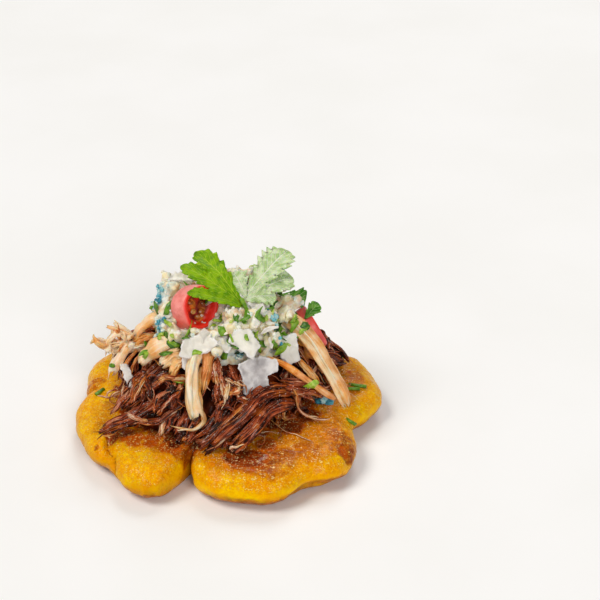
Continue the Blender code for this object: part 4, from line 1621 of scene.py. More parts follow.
@dataclass
class PulledBeef(MeatHeap):
    """The heap of dark braised beef."""

    # Bundles on the back: azimuth, share of the reach and how far the heading swings.
    back: tuple[Place, ...] = (
        (42.0, 0.78, 24.0), (66.0, 0.79, -20.0), (92.0, 0.8, 22.0), (118.0, 0.8, -22.0), (142.0, 0.8, 20.0),
        (164.0, 0.8, -16.0))
    clumps: int = 74
    singles: int = 90
    curls: int = 80
    clump: LooseKind = LooseKind(
        (2.2, 4.8), (1.2, 2.4), (0.42, 0.65), (0.38, 0.20, 0.0), 0.2, (0.7, 1.4), 1.0)
    single: LooseKind = LooseKind(
        (0.9, 0.9), (0.8, 0.8), (0.42, 0.65), (0.38, 0.20, 0.0), 0.2, (0.7, 1.4), 1.0)
    curled: LooseKind = LooseKind(
        (0.8, 2.0), (0.7, 1.3), (0.28, 0.45), (0.5, 0.2, 0.1), 0.1, (1.0, 1.0), 0.6)
    tangle: LooseKind = LooseKind(
        (0.9, 3.0), (0.8, 1.8), (0.34, 0.6), (0.42, 0.18, 0.0), 0.12, (1.1, 1.1), 0.7)
    # Places filled with small curled shreds: plan place, reach and how many.
    pockets: tuple[tuple[float, float, float, int], ...] = (
        (-2.0, -18.5, 3.6, 18), (-13.0, -18.0, 4.0, 14), (1.0, -23.0, 3.6, 12), (-15.0, -12.0, 4.5, 12),
        (16.0, -11.0, 3.6, 10), (-22.0, -11.0, 4.5, 10), (7.0, -17.5, 3.0, 8), (-6.0, -22.5, 3.0, 8),
        (24.0, 2.0, 4.0, 8), (-24.0, 4.0, 4.0, 8), (18.0, 18.0, 6.0, 8), (-16.0, 20.0, 6.0, 8))
    # Where tangled shreds cover the foot and the back: azimuths, shares of the reach and how many.
    tangles: tuple[tuple[float, float, float, float, int], ...] = (
        (24.0, 158.0, 0.9, 1.08, 98), (24.0, 160.0, 0.66, 0.94, 74), (158.0, 200.0, 0.88, 0.98, 16),
        (-36.0, 24.0, 0.88, 0.98, 22))
    # Flat bundles low at the front and on the left.
    low_bundles: tuple[BundlePlan, ...] = plans(
        BundlePlan,
        (((-9.5, -15.6, 17.0), (-10.8, -18.6, 14.8), (-13.0, -21.4, 12.0), (-15.0, -23.4, 10.4)),
         3.4, 1.6, 0.5, 0.4),
        (((-6.5, -17.0, 16.0), (-8.4, -19.6, 14.0), (-10.4, -22.6, 11.4), (-11.6, -24.4, 10.2)),
         3.2, 1.6, 0.5, 0.46),
        (((-12.6, -15.6, 17.0), (-14.6, -18.6, 14.8), (-17.0, -21.4, 12.2)), 2.6, 1.4, 0.45, 0.34),
        (((-23.6, 2.4, 17.4), (-26.4, 1.4, 14.4), (-28.8, -0.4, 11.0)), 3.4, 1.8, 0.5, 0.44),
        (((-24.2, -1.6, 17.0), (-26.8, -3.0, 14.0), (-29.0, -5.0, 11.0)), 3.4, 1.8, 0.5, 0.36),
        (((-23.4, 6.4, 17.0), (-26.2, 6.0, 14.0), (-28.6, 4.4, 11.0)), 3.4, 1.8, 0.5, 0.4),
        (((-24.0, -5.6, 16.4), (-26.0, -7.6, 13.6), (-27.6, -10.0, 11.0)), 3.0, 1.8, 0.5, 0.42),
        (((0.2, -10.6, 25.0), (0.9, -12.8, 22.0), (0.0, -15.6, 18.4)), 4.0, 1.6, 0.5, 0.34),
        (((3.8, -10.6, 24.6), (4.6, -13.0, 21.4), (4.2, -15.8, 17.8)), 3.4, 1.6, 0.5, 0.3))
    # Curly threads beside the heap, in front.
    stray: tuple[tuple[Place, ...], ...] = (
        ((10.8, -16.7, 12.6), (14.6, -20.2, 10.9), (18.4, -22.4, 10.6), (21.9, -24.9, 10.4)),
        ((13.9, -27.8, 10.3), (16.2, -28.9, 10.4), (18.6, -28.8, 10.2)),
        ((8, -22, 11.6), (11.4, -20.6, 10.8), (14, -21.6, 10.7), (13, -24, 10.6)))

    def build(self, shared: SharedEffects, keep_clear: Clear) -> list[Piece]:
        """Builds the beef.

        Args:
            shared: The shared effects.
            keep_clear: Places in mm that loose shreds stay away from, each with a distance.

        Returns:
            Its body, its shreds and its threads.
        """
        draw = np.random.default_rng(11)
        main = [fibre for plan in BEEF_BUNDLES for fibre in self.bundle(plan, draw)]
        for azimuth, share, swing in self.back:
            way = self.combed(*BEEF_HEAP.spot(azimuth, share), azimuth + swing * 1.5, 20.0, 19.0, 1.2,
                              BEEF_HEAP)
            main += self.bundle(BundlePlan(way, 3.6, 2.6, 0.6, 0.42), draw)
        loose = self.scattered(keep_clear, draw)
        for x, y, reach, count in self.pockets:
            for _ in range(count):
                way = self.combed(*draw.normal((x, y), reach * 0.5), draw.uniform(0.0, 360.0),
                                  draw.normal(0.0, 110.0), draw.uniform(4.0, 10.0), draw.uniform(0.3, 2.0),
                                  BEEF_HEAP)
                loose += self.loose(way, keep_clear[1:], self.curled, draw)
        threads = [thread for shred in main for thread in frayed(shred, 3, 2.0, draw)]
        threads += [thread for shred in loose for thread in frayed(shred, 1, 2.4, draw)]
        threads += self.curly(draw)
        loose += self.tangled(keep_clear, np.random.default_rng(12))
        finish = BEEF_FINISH.material(shared)
        # The core's near-black juice shows between the shreds as painted shade in the gaps.
        core = serve(BEEF_HEAP.core("beef_body", 2.0, 1.2, 4.0), JuiceAndGapShade().material(shared), "braised_beef")
        broad, thin = self.parted(main)
        heavy = serve(self.slab.sweep("beef_bundles", broad, 0.17, 0.26, 12, 0.5), finish, "braised_beef",
                      "pulled_beef")
        lumps, shreds = self.parted(loose)
        return [core, heavy, *(serve(piece, finish, "braised_beef") for piece in (
            self.slab.sweep("beef_lumps", lumps, 0.17, 0.3, 15, 0.5),
            self.shred.sweep("beef_shreds", thin + shreds, 0.10, 0.3, 14),
            self.thread.sweep("beef_threads", threads, 0.0, 0.5, 13)))]

    def scattered(self, keep_clear: Clear, draw: Draw) -> list[Strand]:
        """Clumps and single shreds all over the heap.

        Args:
            keep_clear: Places that they stay away from.
            draw: The random numbers.

        Returns:
            Their fibres.
        """
        fibres: list[Strand] = []
        for index in range(self.clumps + self.singles):
            clump = index < self.clumps
            azimuth = 360.0 * (index * 0.618034 % 1.0)
            spot = BEEF_HEAP.spot(azimuth, draw.uniform(0.62, 0.97))
            length = draw.uniform(10.0, 20.0) if clump else draw.uniform(6.0, 15.0)
            lift = draw.uniform(-0.3, 1.5) if clump else draw.uniform(0.4, 2.0)
            spread = 24.0 if clump else 45.0
            if 150.0 < azimuth < 318.0:
                heading = draw.normal(212.0, spread)
            else:
                heading = azimuth + draw.normal(0.0, spread * 1.4)
            way = self.combed(*spot, heading, draw.normal(0.0, 45.0), length, lift, BEEF_HEAP)
            fibres += self.loose(way, keep_clear, self.clump if clump else self.single, draw)
        return fibres

    def tangled(self, keep_clear: Clear, draw: Draw) -> list[Strand]:
        """Tangled shreds that lie every way over the foot and the back of the heap.

        Args:
            keep_clear: Places that they stay away from.
            draw: The random numbers.

        Returns:
            Their fibres.
        """
        fibres: list[Strand] = []
        for low, high, inner, outer, count in self.tangles:
            for _ in range(count):
                azimuth = draw.uniform(low, high)
                way = self.combed(*BEEF_HEAP.spot(azimuth, draw.uniform(inner, outer)),
                                  azimuth + draw.normal(90.0, 50.0), draw.normal(0.0, 80.0),
                                  draw.uniform(5.0, 13.0), draw.uniform(0.4, 2.6), BEEF_HEAP)
                fibres += self.loose(way, keep_clear, self.tangle, draw)
        return fibres + [fibre for plan in self.low_bundles for fibre in self.bundle(plan, draw)]

    def curly(self, draw: Draw) -> list[Strand]:
        """Loose curly threads on the heap and on the plantain beside it.

        Args:
            draw: The random numbers.

        Returns:
            The threads.
        """
        threads = []
        for _ in range(self.curls):
            x, y = BEEF_HEAP.spot(draw.uniform(0.0, 360.0), draw.uniform(0.6, 1.12))
            heading, bend = draw.uniform(0.0, FULL_TURN), draw.uniform(-0.8, 0.8)
            places = []
            for _ in range(7):
                z = float(BEEF_HEAP.height(x, y)) + 0.9 + 1.0 * draw.random()
                places.append((x, y, max(z, BEEF_HEAP.base + 0.3)))
                x += 1.2 * math.cos(heading)
                y += 1.2 * math.sin(heading)
                heading += bend
            radius = draw.uniform(0.13, 0.26)
            threads.append(Strand(np.array(places), radius, radius, draw.uniform(0.45, 0.9), 0.5))
        return threads + [Strand(np.array(way), 0.17, 0.17, 0.85, 0.5) for way in self.stray]


CHICKEN_BUNDLES = plans(
    BundlePlan,
    (((-19.0, 1.6, 24.6), (-23.0, 1.6, 24.6), (-28.0, 2.2, 23.8), (-32.6, 3.2, 23.6), (-34.0, 3.6, 24.8)),
     3.2, 2.0, 0.55, 0.8, 0.1, 1.2, 0.8),
    (((-30.0, 2.8, 24.6), (-32.6, 3.4, 25.4), (-34.6, 4.0, 26.6)), 1.3, 0.9, 0.38, 0.98, 0.02, 1.4, 0.8),
    (((-30.0, 2.6, 23.8), (-32.8, 3.2, 24.2), (-35.0, 3.8, 25.2)), 1.2, 0.9, 0.36, 0.94, 0.02, 1.4, 0.8),
    (((-25.4, 3.0, 26.6), (-28.6, 4.0, 28.0), (-32.0, 5.0, 29.2)), 1.0, 0.7, 0.32, 0.9, 0.02),
    (((-25.0, 3.6, 27.0), (-28.0, 4.8, 28.8), (-30.4, 5.8, 29.8)), 0.8, 0.6, 0.3, 0.8, 0.02),
    (((-25.8, 2.4, 25.4), (-27.6, 2.4, 27.6), (-30.0, 2.6, 27.6), (-31.4, 2.2, 25.8), (-30.0, 1.6, 24.2)),
     1.9, 1.4, 0.55, 0.76, 0.02, 1.0, 0.6),
    (((-18.4, 2.6, 26.2), (-22.0, 1.8, 26.4), (-25.0, 1.4, 25.2)), 3.0, 2.0, 0.55, 0.52, 0.1),
    (((-16.0, 4.4, 31.6), (-19.4, 4.0, 31.0), (-21.8, 3.4, 29.2), (-23.6, 2.6, 27.0)),
     2.6, 1.9, 0.8, 0.8, 0.04, 0.9, 0.2),
    (((-24.4, 1.6, 25.2), (-26.8, 0.4, 23.6), (-29.0, -0.4, 21.2), (-30.6, -1.0, 18.4)),
     3.4, 1.8, 1.0, 0.94, 0.02, 1.0, 0.1),
    (((-23.6, 0.2, 23.8), (-26.2, -1.6, 21.6), (-27.4, -3.2, 18.6)), 1.4, 1.2, 0.6, 0.34, 0.05, 0.9, 0.4),
    (((-22.0, -0.6, 23.6), (-24.4, -2.4, 21.4), (-25.6, -3.8, 18.2)), 1.2, 1.0, 0.55, 0.24, 0.05, 0.9, 0.4),
    (((-13.4, -4.4, 30.2), (-16.6, -4.6, 29.0), (-19.4, -4.4, 26.6), (-22.4, -3.2, 23.4)),
     4.0, 1.8, 1.1, 0.76, 0.02, 0.8, 0.2, (-0.3, -0.7, 0.6), 0.3),
    (((-11.6, -7.0, 28.0), (-14.6, -7.6, 26.8), (-17.4, -8.6, 24.0)), 3.4, 1.6, 0.8, 0.74, 0.1, 1.2, 0.4),
    (((-10.0, -7.8, 26.6), (-13.0, -9.0, 26.2), (-14.8, -10.4, 23.6)), 4.2, 1.8, 0.6, 0.6, 0.25, 1.3, 0.6),
    (((-3.6, -5.6, 28.8), (-4.6, -9.6, 27.4), (-5.6, -13.4, 24.6), (-6.4, -16.5, 22.2)),
     3.0, 1.2, 0.76, 0.34, 0.02, 0.7, 0.4, (-0.1, -0.8, 0.6)),
    (((-7.6, -8.4, 28.4), (-8.8, -12.6, 26.6), (-9.4, -16.4, 24.2), (-9.0, -20.0, 20.2),
     (-8.6, -22.3, 17.6)), 3.8, 1.6, 0.88, 0.84, 0.02, 1.1, 0.3, (-0.1, -0.8, 0.6), 0.72),
    (((-7.0, -12.0, 26.2), (-7.4, -17.0, 23.2), (-6.8, -20.6, 19.4), (-6.6, -22.8, 16.6)),
     1.2, 1.0, 0.5, 0.52, 0.02, 1.0, 0.4, (-0.1, -0.8, 0.6)),
    (((-6.6, -21.0, 18.6), (-6.5, -23.0, 16.4), (-9.2, -23.4, 14.6), (-11.9, -22.6, 14.5),
     (-14.0, -21.8, 14.7)), 0.9, 0.7, 0.3, 0.5, 0.02, 0.6),
    (((15.6, 2.6, 31.0), (18.8, 0.2, 31.0), (22.6, -2.6, 27.0), (26.8, -6.2, 20.6), (30.0, -9.6, 15.0),
     (31.6, -11.6, 12.0)), 5.8, 2.0, 0.8, 0.76, 0.02, 0.72, 0.3, (0.25, -0.75, 0.6)),
    (((11.0, -8.6, 26.2), (15.2, -10.0, 25.0), (20.8, -11.4, 21.2), (25.6, -11.6, 16.8),
     (28.6, -10.6, 13.8)), 1.9, 1.3, 0.6, 0.36, 0.05, 0.8, 0.3, (0.1, -0.75, 0.6)),
    (((19.0, -6.0, 23.6), (22.2, -7.4, 20.0), (24.4, -8.4, 17.2)), 1.8, 1.3, 0.5, 0.4))


@dataclass
class PulledChicken(MeatHeap):
    """The pale pulled chicken between the beef and the cheese."""

    # Loose bundles: azimuths, how many, and how far their directions spread in degrees.
    fill: tuple[tuple[float, float, int, float], ...] = (
        (140.0, 196.0, 12, 30.0), (335.0, 400.0, 6, 30.0), (40.0, 150.0, 34, 60.0))
    kind: LooseKind = LooseKind(
        (1.6, 3.6), (1.0, 1.8), (0.46, 0.72), (0.52, 0.16, 0.1), 0.2, (0.8, 1.4), 1.0)
    # The tuft of short curled shreds on the left: its middle and reach in mm, and how many.
    tuft: Place = (-27.4, 2.4, 25.4)
    tuft_reach: Place = (3.0, 0.9, 1.3)
    fluff: int = 22

    def build(self, shared: SharedEffects, keep_clear: Clear) -> list[Piece]:
        """Builds the chicken.

        Args:
            shared: The shared effects.
            keep_clear: Places in mm that loose shreds stay away from, each with a distance.

        Returns:
            Its body, its shreds and its threads.
        """
        draw = np.random.default_rng(21)
        shreds = [fibre for plan in CHICKEN_BUNDLES for fibre in self.bundle(plan, draw)]
        for low, high, count, spread in self.fill:
            for _ in range(count):
                azimuth = draw.uniform(low, high)
                way = self.combed(*CHICKEN_HEAP.spot(azimuth, draw.uniform(0.9, 1.12)),
                                  azimuth + draw.normal(0.0, spread), draw.normal(0.0, spread + 10.0),
                                  draw.uniform(8.0, 15.0), draw.uniform(0.8, 1.8), BEEF_HEAP, CHICKEN_HEAP)
                shreds += self.loose(way, keep_clear, self.kind, draw)
        shreds += self.fluffed(np.random.default_rng(22))
        threads = [thread for shred in shreds for thread in frayed(shred, 1, 2.0, draw)]
        finish = CHICKEN_FINISH.material(shared)
        slot = "pulled_chicken"
        # The core's dark juice shows between the chicken shreds as painted shade in the gaps.
        core = serve(CHICKEN_HEAP.core("chicken_body", 1.8, 0.8, 3.0), JuiceAndGapShade().material(shared), slot)
        broad, thin = self.parted(shreds)
        strips = serve(self.slab.sweep("chicken_strips", broad, 0.08, 0.10, 22, 0.4), finish, slot, slot)
        return [core, strips, serve(self.shred.sweep("chicken_shreds", thin, 0.06, 0.2, 24), finish, slot),
                serve(self.thread.sweep("chicken_threads", threads, 0.0, 0.4, 23), finish, slot)]

    def fluffed(self, draw: Draw) -> list[Strand]:
        """Short curled shreds that stand out of the tuft every way.

        Args:
            draw: The random numbers.

        Returns:
            The fibres of the shreds.
        """
        shreds: list[Strand] = []
        for _ in range(self.fluff):
            middle = np.array(self.tuft) + draw.normal(0.0, 1.0, 3) * np.array(self.tuft_reach)
            ahead = unit(draw.normal(0.0, 1.0, 3) + np.array((-0.7, 0.0, 0.1)))
            side = unit(np.cross(ahead, draw.normal(0.0, 1.0, 3)))
            share = np.linspace(-1.0, 1.0, 7)[:, None]
            way = middle + ahead * share * draw.uniform(1.4, 3.0)
            way = way + side * share ** 2 * draw.uniform(0.2, 1.6)
            shreds += self.bundle(BundlePlan(way, draw.uniform(0.6, 1.5), 0.8, draw.uniform(0.26, 0.42),
                                             draw.uniform(0.62, 0.98), 0.05, 1.4, 1.0), draw)
        return shreds


@dataclass
class CheeseCap:
    """The crumbled blue cheese on top."""

    # Large lumps: place and size in mm.
    crumbs: tuple[tuple[float, float, float, float], ...] = (
        (-15.2, 2.6, 35.2, 3.6), (-15.2, -0.6, 32.6, 3.2), (-12.4, -3.4, 31.0, 3.0),
        (-14.0, 8.6, 38.4, 3.2), (-17.0, 6.0, 34.6, 3.2), (-16.4, 9.6, 37.6, 3.0), (-7.8, -5.6, 30.6, 3.0),
        (-3.4, -7.2, 31.6, 2.8), (-12.6, 12.6, 38.0, 3.4), (-17.4, 3.2, 32.0, 2.4),
        (-16.6, -1.8, 29.6, 2.4), (-2.4, -10.2, 30.2, 2.8), (12.0, -6.4, 30.6, 2.8), (17.0, 5.6, 34.8, 3.0),
        (-4.4, 14.6, 37.0, 2.8), (5.4, 13.4, 37.4, 3.0), (13.0, 12.6, 36.0, 3.0), (-15.6, 15.4, 31.6, 2.8),
        (3.6, 22.6, 30.2, 2.6), (-7.4, 22.0, 30.4, 2.8), (18.4, 0.8, 28.4, 2.4))
    # Blue places: middle and reach in mm.
    blue_spots: tuple[tuple[float, float, float, float], ...] = (
        (-18.5, 9.5, 36.5, 3.2), (-18.8, 6.6, 36.0, 2.6), (-17.0, -0.6, 32.0, 2.8),
        (-16.6, -2.2, 29.8, 2.8), (9.7, -2.0, 33.5, 2.2), (12.5, -4.6, 31.0, 2.4), (3.6, -8.6, 28.0, 1.3),
        (-3.0, 16.0, 36.0, 2.8), (14.0, 15.0, 32.0, 2.6), (-12.0, 20.0, 30.0, 2.6), (18.0, 9.0, 31.0, 2.2),
        (2.0, 23.5, 28.5, 2.4), (-20.0, 12.0, 29.0, 2.4))
    # Crumbs that have fallen on the plantain: place, size and tone.
    fallen: tuple[tuple[float, float, float, float, float], ...] = (
        (25.0, -10.0, 12.7, 1.5, 0.12), (26.2, -10.2, 13.1, 1.5, 0.6), (27.6, -10.6, 12.6, 1.5, 0.22))
    # The hollow that stays open in front of the chilli: middle and reach in mm.
    bowl: tuple[Place, float] = ((-4.5, -1.6, 38.4), 6.1)
    left_edge: float = -18.6
    lumps: int = 200
    chunks: int = 120
    grains: int = 200
    # How many grains lie on each square mm of a blue place.
    blue_share: float = 3.0
    voxel: float = 0.4

    def build(self, shared: SharedEffects, keep_clear: Clear) -> list[Piece]:
        """Builds the cheese.

        Args:
            shared: The shared effects.
            keep_clear: Places in mm that lumps stay away from, each with a distance.

        Returns:
            Its body, its broken lumps and its loose grains.
        """
        draw = np.random.default_rng(31)
        finish, slot = BlueCheese().material(shared), "crumbled_cheese"
        body = serve(self.body(keep_clear, draw), finish, slot, slot)
        lumps = serve(self.broken(Surface([body]), keep_clear, draw), finish, slot)
        grains = serve(self.loose(Surface([body, lumps]), draw), MOULD_FINISH.material(shared), slot)
        return [body, lumps, grains]

    def body(self, keep_clear: Clear, draw: Draw) -> Piece:
        """The crumbly body: a low dome and many lumps under one skin.

        Args:
            keep_clear: Places in mm that lumps stay away from, each with a distance.
            draw: The random numbers.

        Returns:
            The piece.
        """
        core = CHEESE_HEAP.core("cheese_cap", 1.8, 0.8, 4.0)
        bm = bmesh.new()
        bm.from_mesh(core.data)
        bpy.data.objects.remove(core, do_unlink=True)
        places = [(crumb[:3], crumb[3] * 0.92) for crumb in self.crumbs]
        for _ in range(self.lumps):
            x, y = CHEESE_HEAP.spot(draw.uniform(0.0, 360.0), math.sqrt(draw.uniform(0.02, 0.98)))
            top = float(CHEESE_HEAP.height(x, y))
            low = CHEESE_HEAP.base + 1.0 if float(CHEESE_HEAP.share_at(x, y)) > 0.85 else top - 1.6
            place = (x, y, draw.uniform(min(low, top), top - 0.6))
            if not blocked([place], keep_clear):
                places.append((place, draw.uniform(0.9, 2.2)))
        for place, radius in places:
            made = bmesh.ops.create_icosphere(bm, subdivisions=1, radius=1.0)["verts"]
            shape = Matrix.Diagonal(Vector(draw.uniform(0.7, 1.2, 3) * radius * MM))
            turn = Matrix.Rotation(any_turn(draw), 3, Vector(draw.normal(0.0, 1.0, 3)))
            bmesh.ops.transform(bm, matrix=Matrix.Translation(Vector(place) * MM)
                                @ (turn @ shape).to_4x4(), verts=made)
        body = piece_from(bm, "cheese_cap")
        reskin(body, self.voxel, 1)
        skin = Skin(body)
        for spots, reach in keep_clear:
            for spot in spots:
                skin.push(-1.6 * ease(skin.away(spot), reach + 0.5, reach - 2.5))
        down = np.array((0.0, 0.25, -1.0)) / math.hypot(0.25, 1.0)
        middle, reach = self.bowl
        gap = skin.points - np.array(middle)
        along, square = gap @ down, np.sum(gap * gap, axis=1)
        sink = np.sqrt(np.maximum(reach * reach - (square - along * along), 0.0)) - along
        skin.points += down * (np.where(square < reach * reach, sink, 0.0))[:, None]
        relief = 0.40 * noise_over(skin.points, 2.6, 1.0, 3)
        relief += 0.30 * (noise_over(skin.points, 1.7, 2.0, 1, "VORONOI_F1") - 0.4)
        return self.relief_shade_and_mould(body, skin, relief + 0.10 * noise_over(skin.points, 0.8, 3.0, 2))

    def relief_shade_and_mould(self, piece: Piece, skin: Skin, relief: Array) -> Piece:
        """Gives cheese its relief, and marks its hollows for painted shade and its blue places.

        Args:
            piece: The piece.
            skin: Its surface.
            relief: How far each point moves out, in mm.

        Returns:
            The piece.
        """
        skin.push(relief)
        skin.write()
        skin = Skin(piece)
        # Painted shade in the hollows, weaker on the left.
        warm = 0.35 + 0.65 * ease(skin.points[:, 0], -15.0, -9.0)
        skin.paint("hollow", ease(skin.hollows(6), 0.03, 0.34) * warm)
        blue = ease(noise_over(skin.points, 5.0, 8.0, 2), 0.34, 0.55) * 0.35
        for *spot, reach in self.blue_spots:
            blue = np.maximum(blue, ease(skin.away(spot), reach * 1.35, reach * 0.6))
        skin.paint("blue", blue)
        return piece

    def broken(self, surface: Surface, keep_clear: Clear, draw: Draw) -> Piece:
        """Angular lumps that lie on the cap.

        Args:
            surface: What they lie on.
            keep_clear: Places in mm that they stay away from, each with a distance.
            draw: The random numbers.

        Returns:
            One joined piece.
        """
        bm = bmesh.new()
        for _ in range(self.chunks):
            hit = self.above(surface, draw, 78.0)
            if hit is None:
                continue
            size = draw.uniform(1.4, 3.4)
            if blocked([hit[0]], keep_clear) or hit[0][0] - 0.6 * size < self.left_edge:
                continue
            corners = unit(draw.normal(0.0, 1.0, (18, 3))) * draw.uniform(0.8, 1.1, (18, 1))
            shape = laid(corners * size * np.array((1.1, 0.9, 0.7)), *hit, any_turn(draw), size * 0.25)
            verts = [bm.verts.new(Vector(point) * MM) for point in shape]
            hull = bmesh.ops.convex_hull(bm, input=verts)
            inner = {item for item in hull["geom_interior"] + hull["geom_unused"]
                     if isinstance(item, bmesh.types.BMVert)}
            bmesh.ops.delete(bm, geom=list(inner), context="VERTS")
        bmesh.ops.recalc_face_normals(bm, faces=bm.faces)
        piece = piece_from(bm, "cheese_lumps")
        reskin(piece, 0.36, 1)
        skin = Skin(piece)
        return self.relief_shade_and_mould(piece, skin, 0.30 * noise_over(skin.points, 1.6, 4.0, 3)
                              + 0.26 * (noise_over(skin.points, 1.2, 5.0, 1, "VORONOI_F1") - 0.4))

    @staticmethod
    def above(surface: Surface, draw: Draw, lowest: float) -> tuple[Array, Array] | None:
        """A random place on the cap, at most lowest degrees from its top.

        Args:
            surface: The cap.
            draw: The random numbers.
            lowest: How many degrees from the top at most.

        Returns:
            The place in mm and the way it faces, or None where the cap has a gap.
        """
        azimuth = any_turn(draw)
        polar = math.radians(lowest) * math.sqrt(draw.uniform(0.0, 1.0))
        heart = np.array((*CHEESE_HEAP.centre, 27.0))
        ray = np.array((math.sin(polar) * math.cos(azimuth), math.sin(polar) * math.sin(azimuth),
                        math.cos(polar)))
        return surface.strike(heart + ray * 60.0, heart)

    def loose(self, surface: Surface, draw: Draw) -> Piece:
        """Loose grains, bluer where the cheese is blue.

        Args:
            surface: What they lie on.
            draw: The random numbers.

        Returns:
            One joined piece.
        """
        bm = bmesh.new()
        bmesh.ops.create_icosphere(bm, subdivisions=1, radius=1.0)
        grain = Template(bm)
        places, tones = [], []
        heart = np.array((*CHEESE_HEAP.centre, 26.0))
        hits = [(self.above(surface, draw, 82.0), draw.uniform(0.8, 1.0)) for _ in range(self.grains)]
        for *spot, reach in self.blue_spots:
            for _ in range(round(self.blue_share * reach ** 2)):
                aim = np.array(spot) + draw.normal(0.0, reach * 0.45, 3)
                hits.append((surface.near(aim, heart), draw.uniform(0.05, 0.95)))
        for hit, tone in hits:
            if hit is None:
                continue
            size = draw.uniform(0.28, 0.8)
            shape = grain.points * size * draw.uniform(0.6, 1.35, 3)
            shape = shape * draw.uniform(0.66, 1.25, (len(shape), 1))
            places.append(laid(shape, *hit, any_turn(draw), size * 0.45))
            tones.append(tone)
        for *spot, length, tone in self.fallen:
            shape = grain.points * np.array((length, length * 0.7, length * 0.75))
            places.append(shape * draw.uniform(0.85, 1.15, (len(shape), 1)) + np.array(spot))
            tones.append(tone)
        return grain.repeat("cheese_grains", places, tones, smooth=False)


@dataclass(frozen=True)
class ShavingPlan:
    """One shaving: the CAD node it stands for, its outline and place in mm, lean and turn in degrees."""

    node: str
    outline: tuple[Span, ...]
    middle: Place
    lean: float
    turn: float
    bend: float = 0.8
    warm: float = 0.1


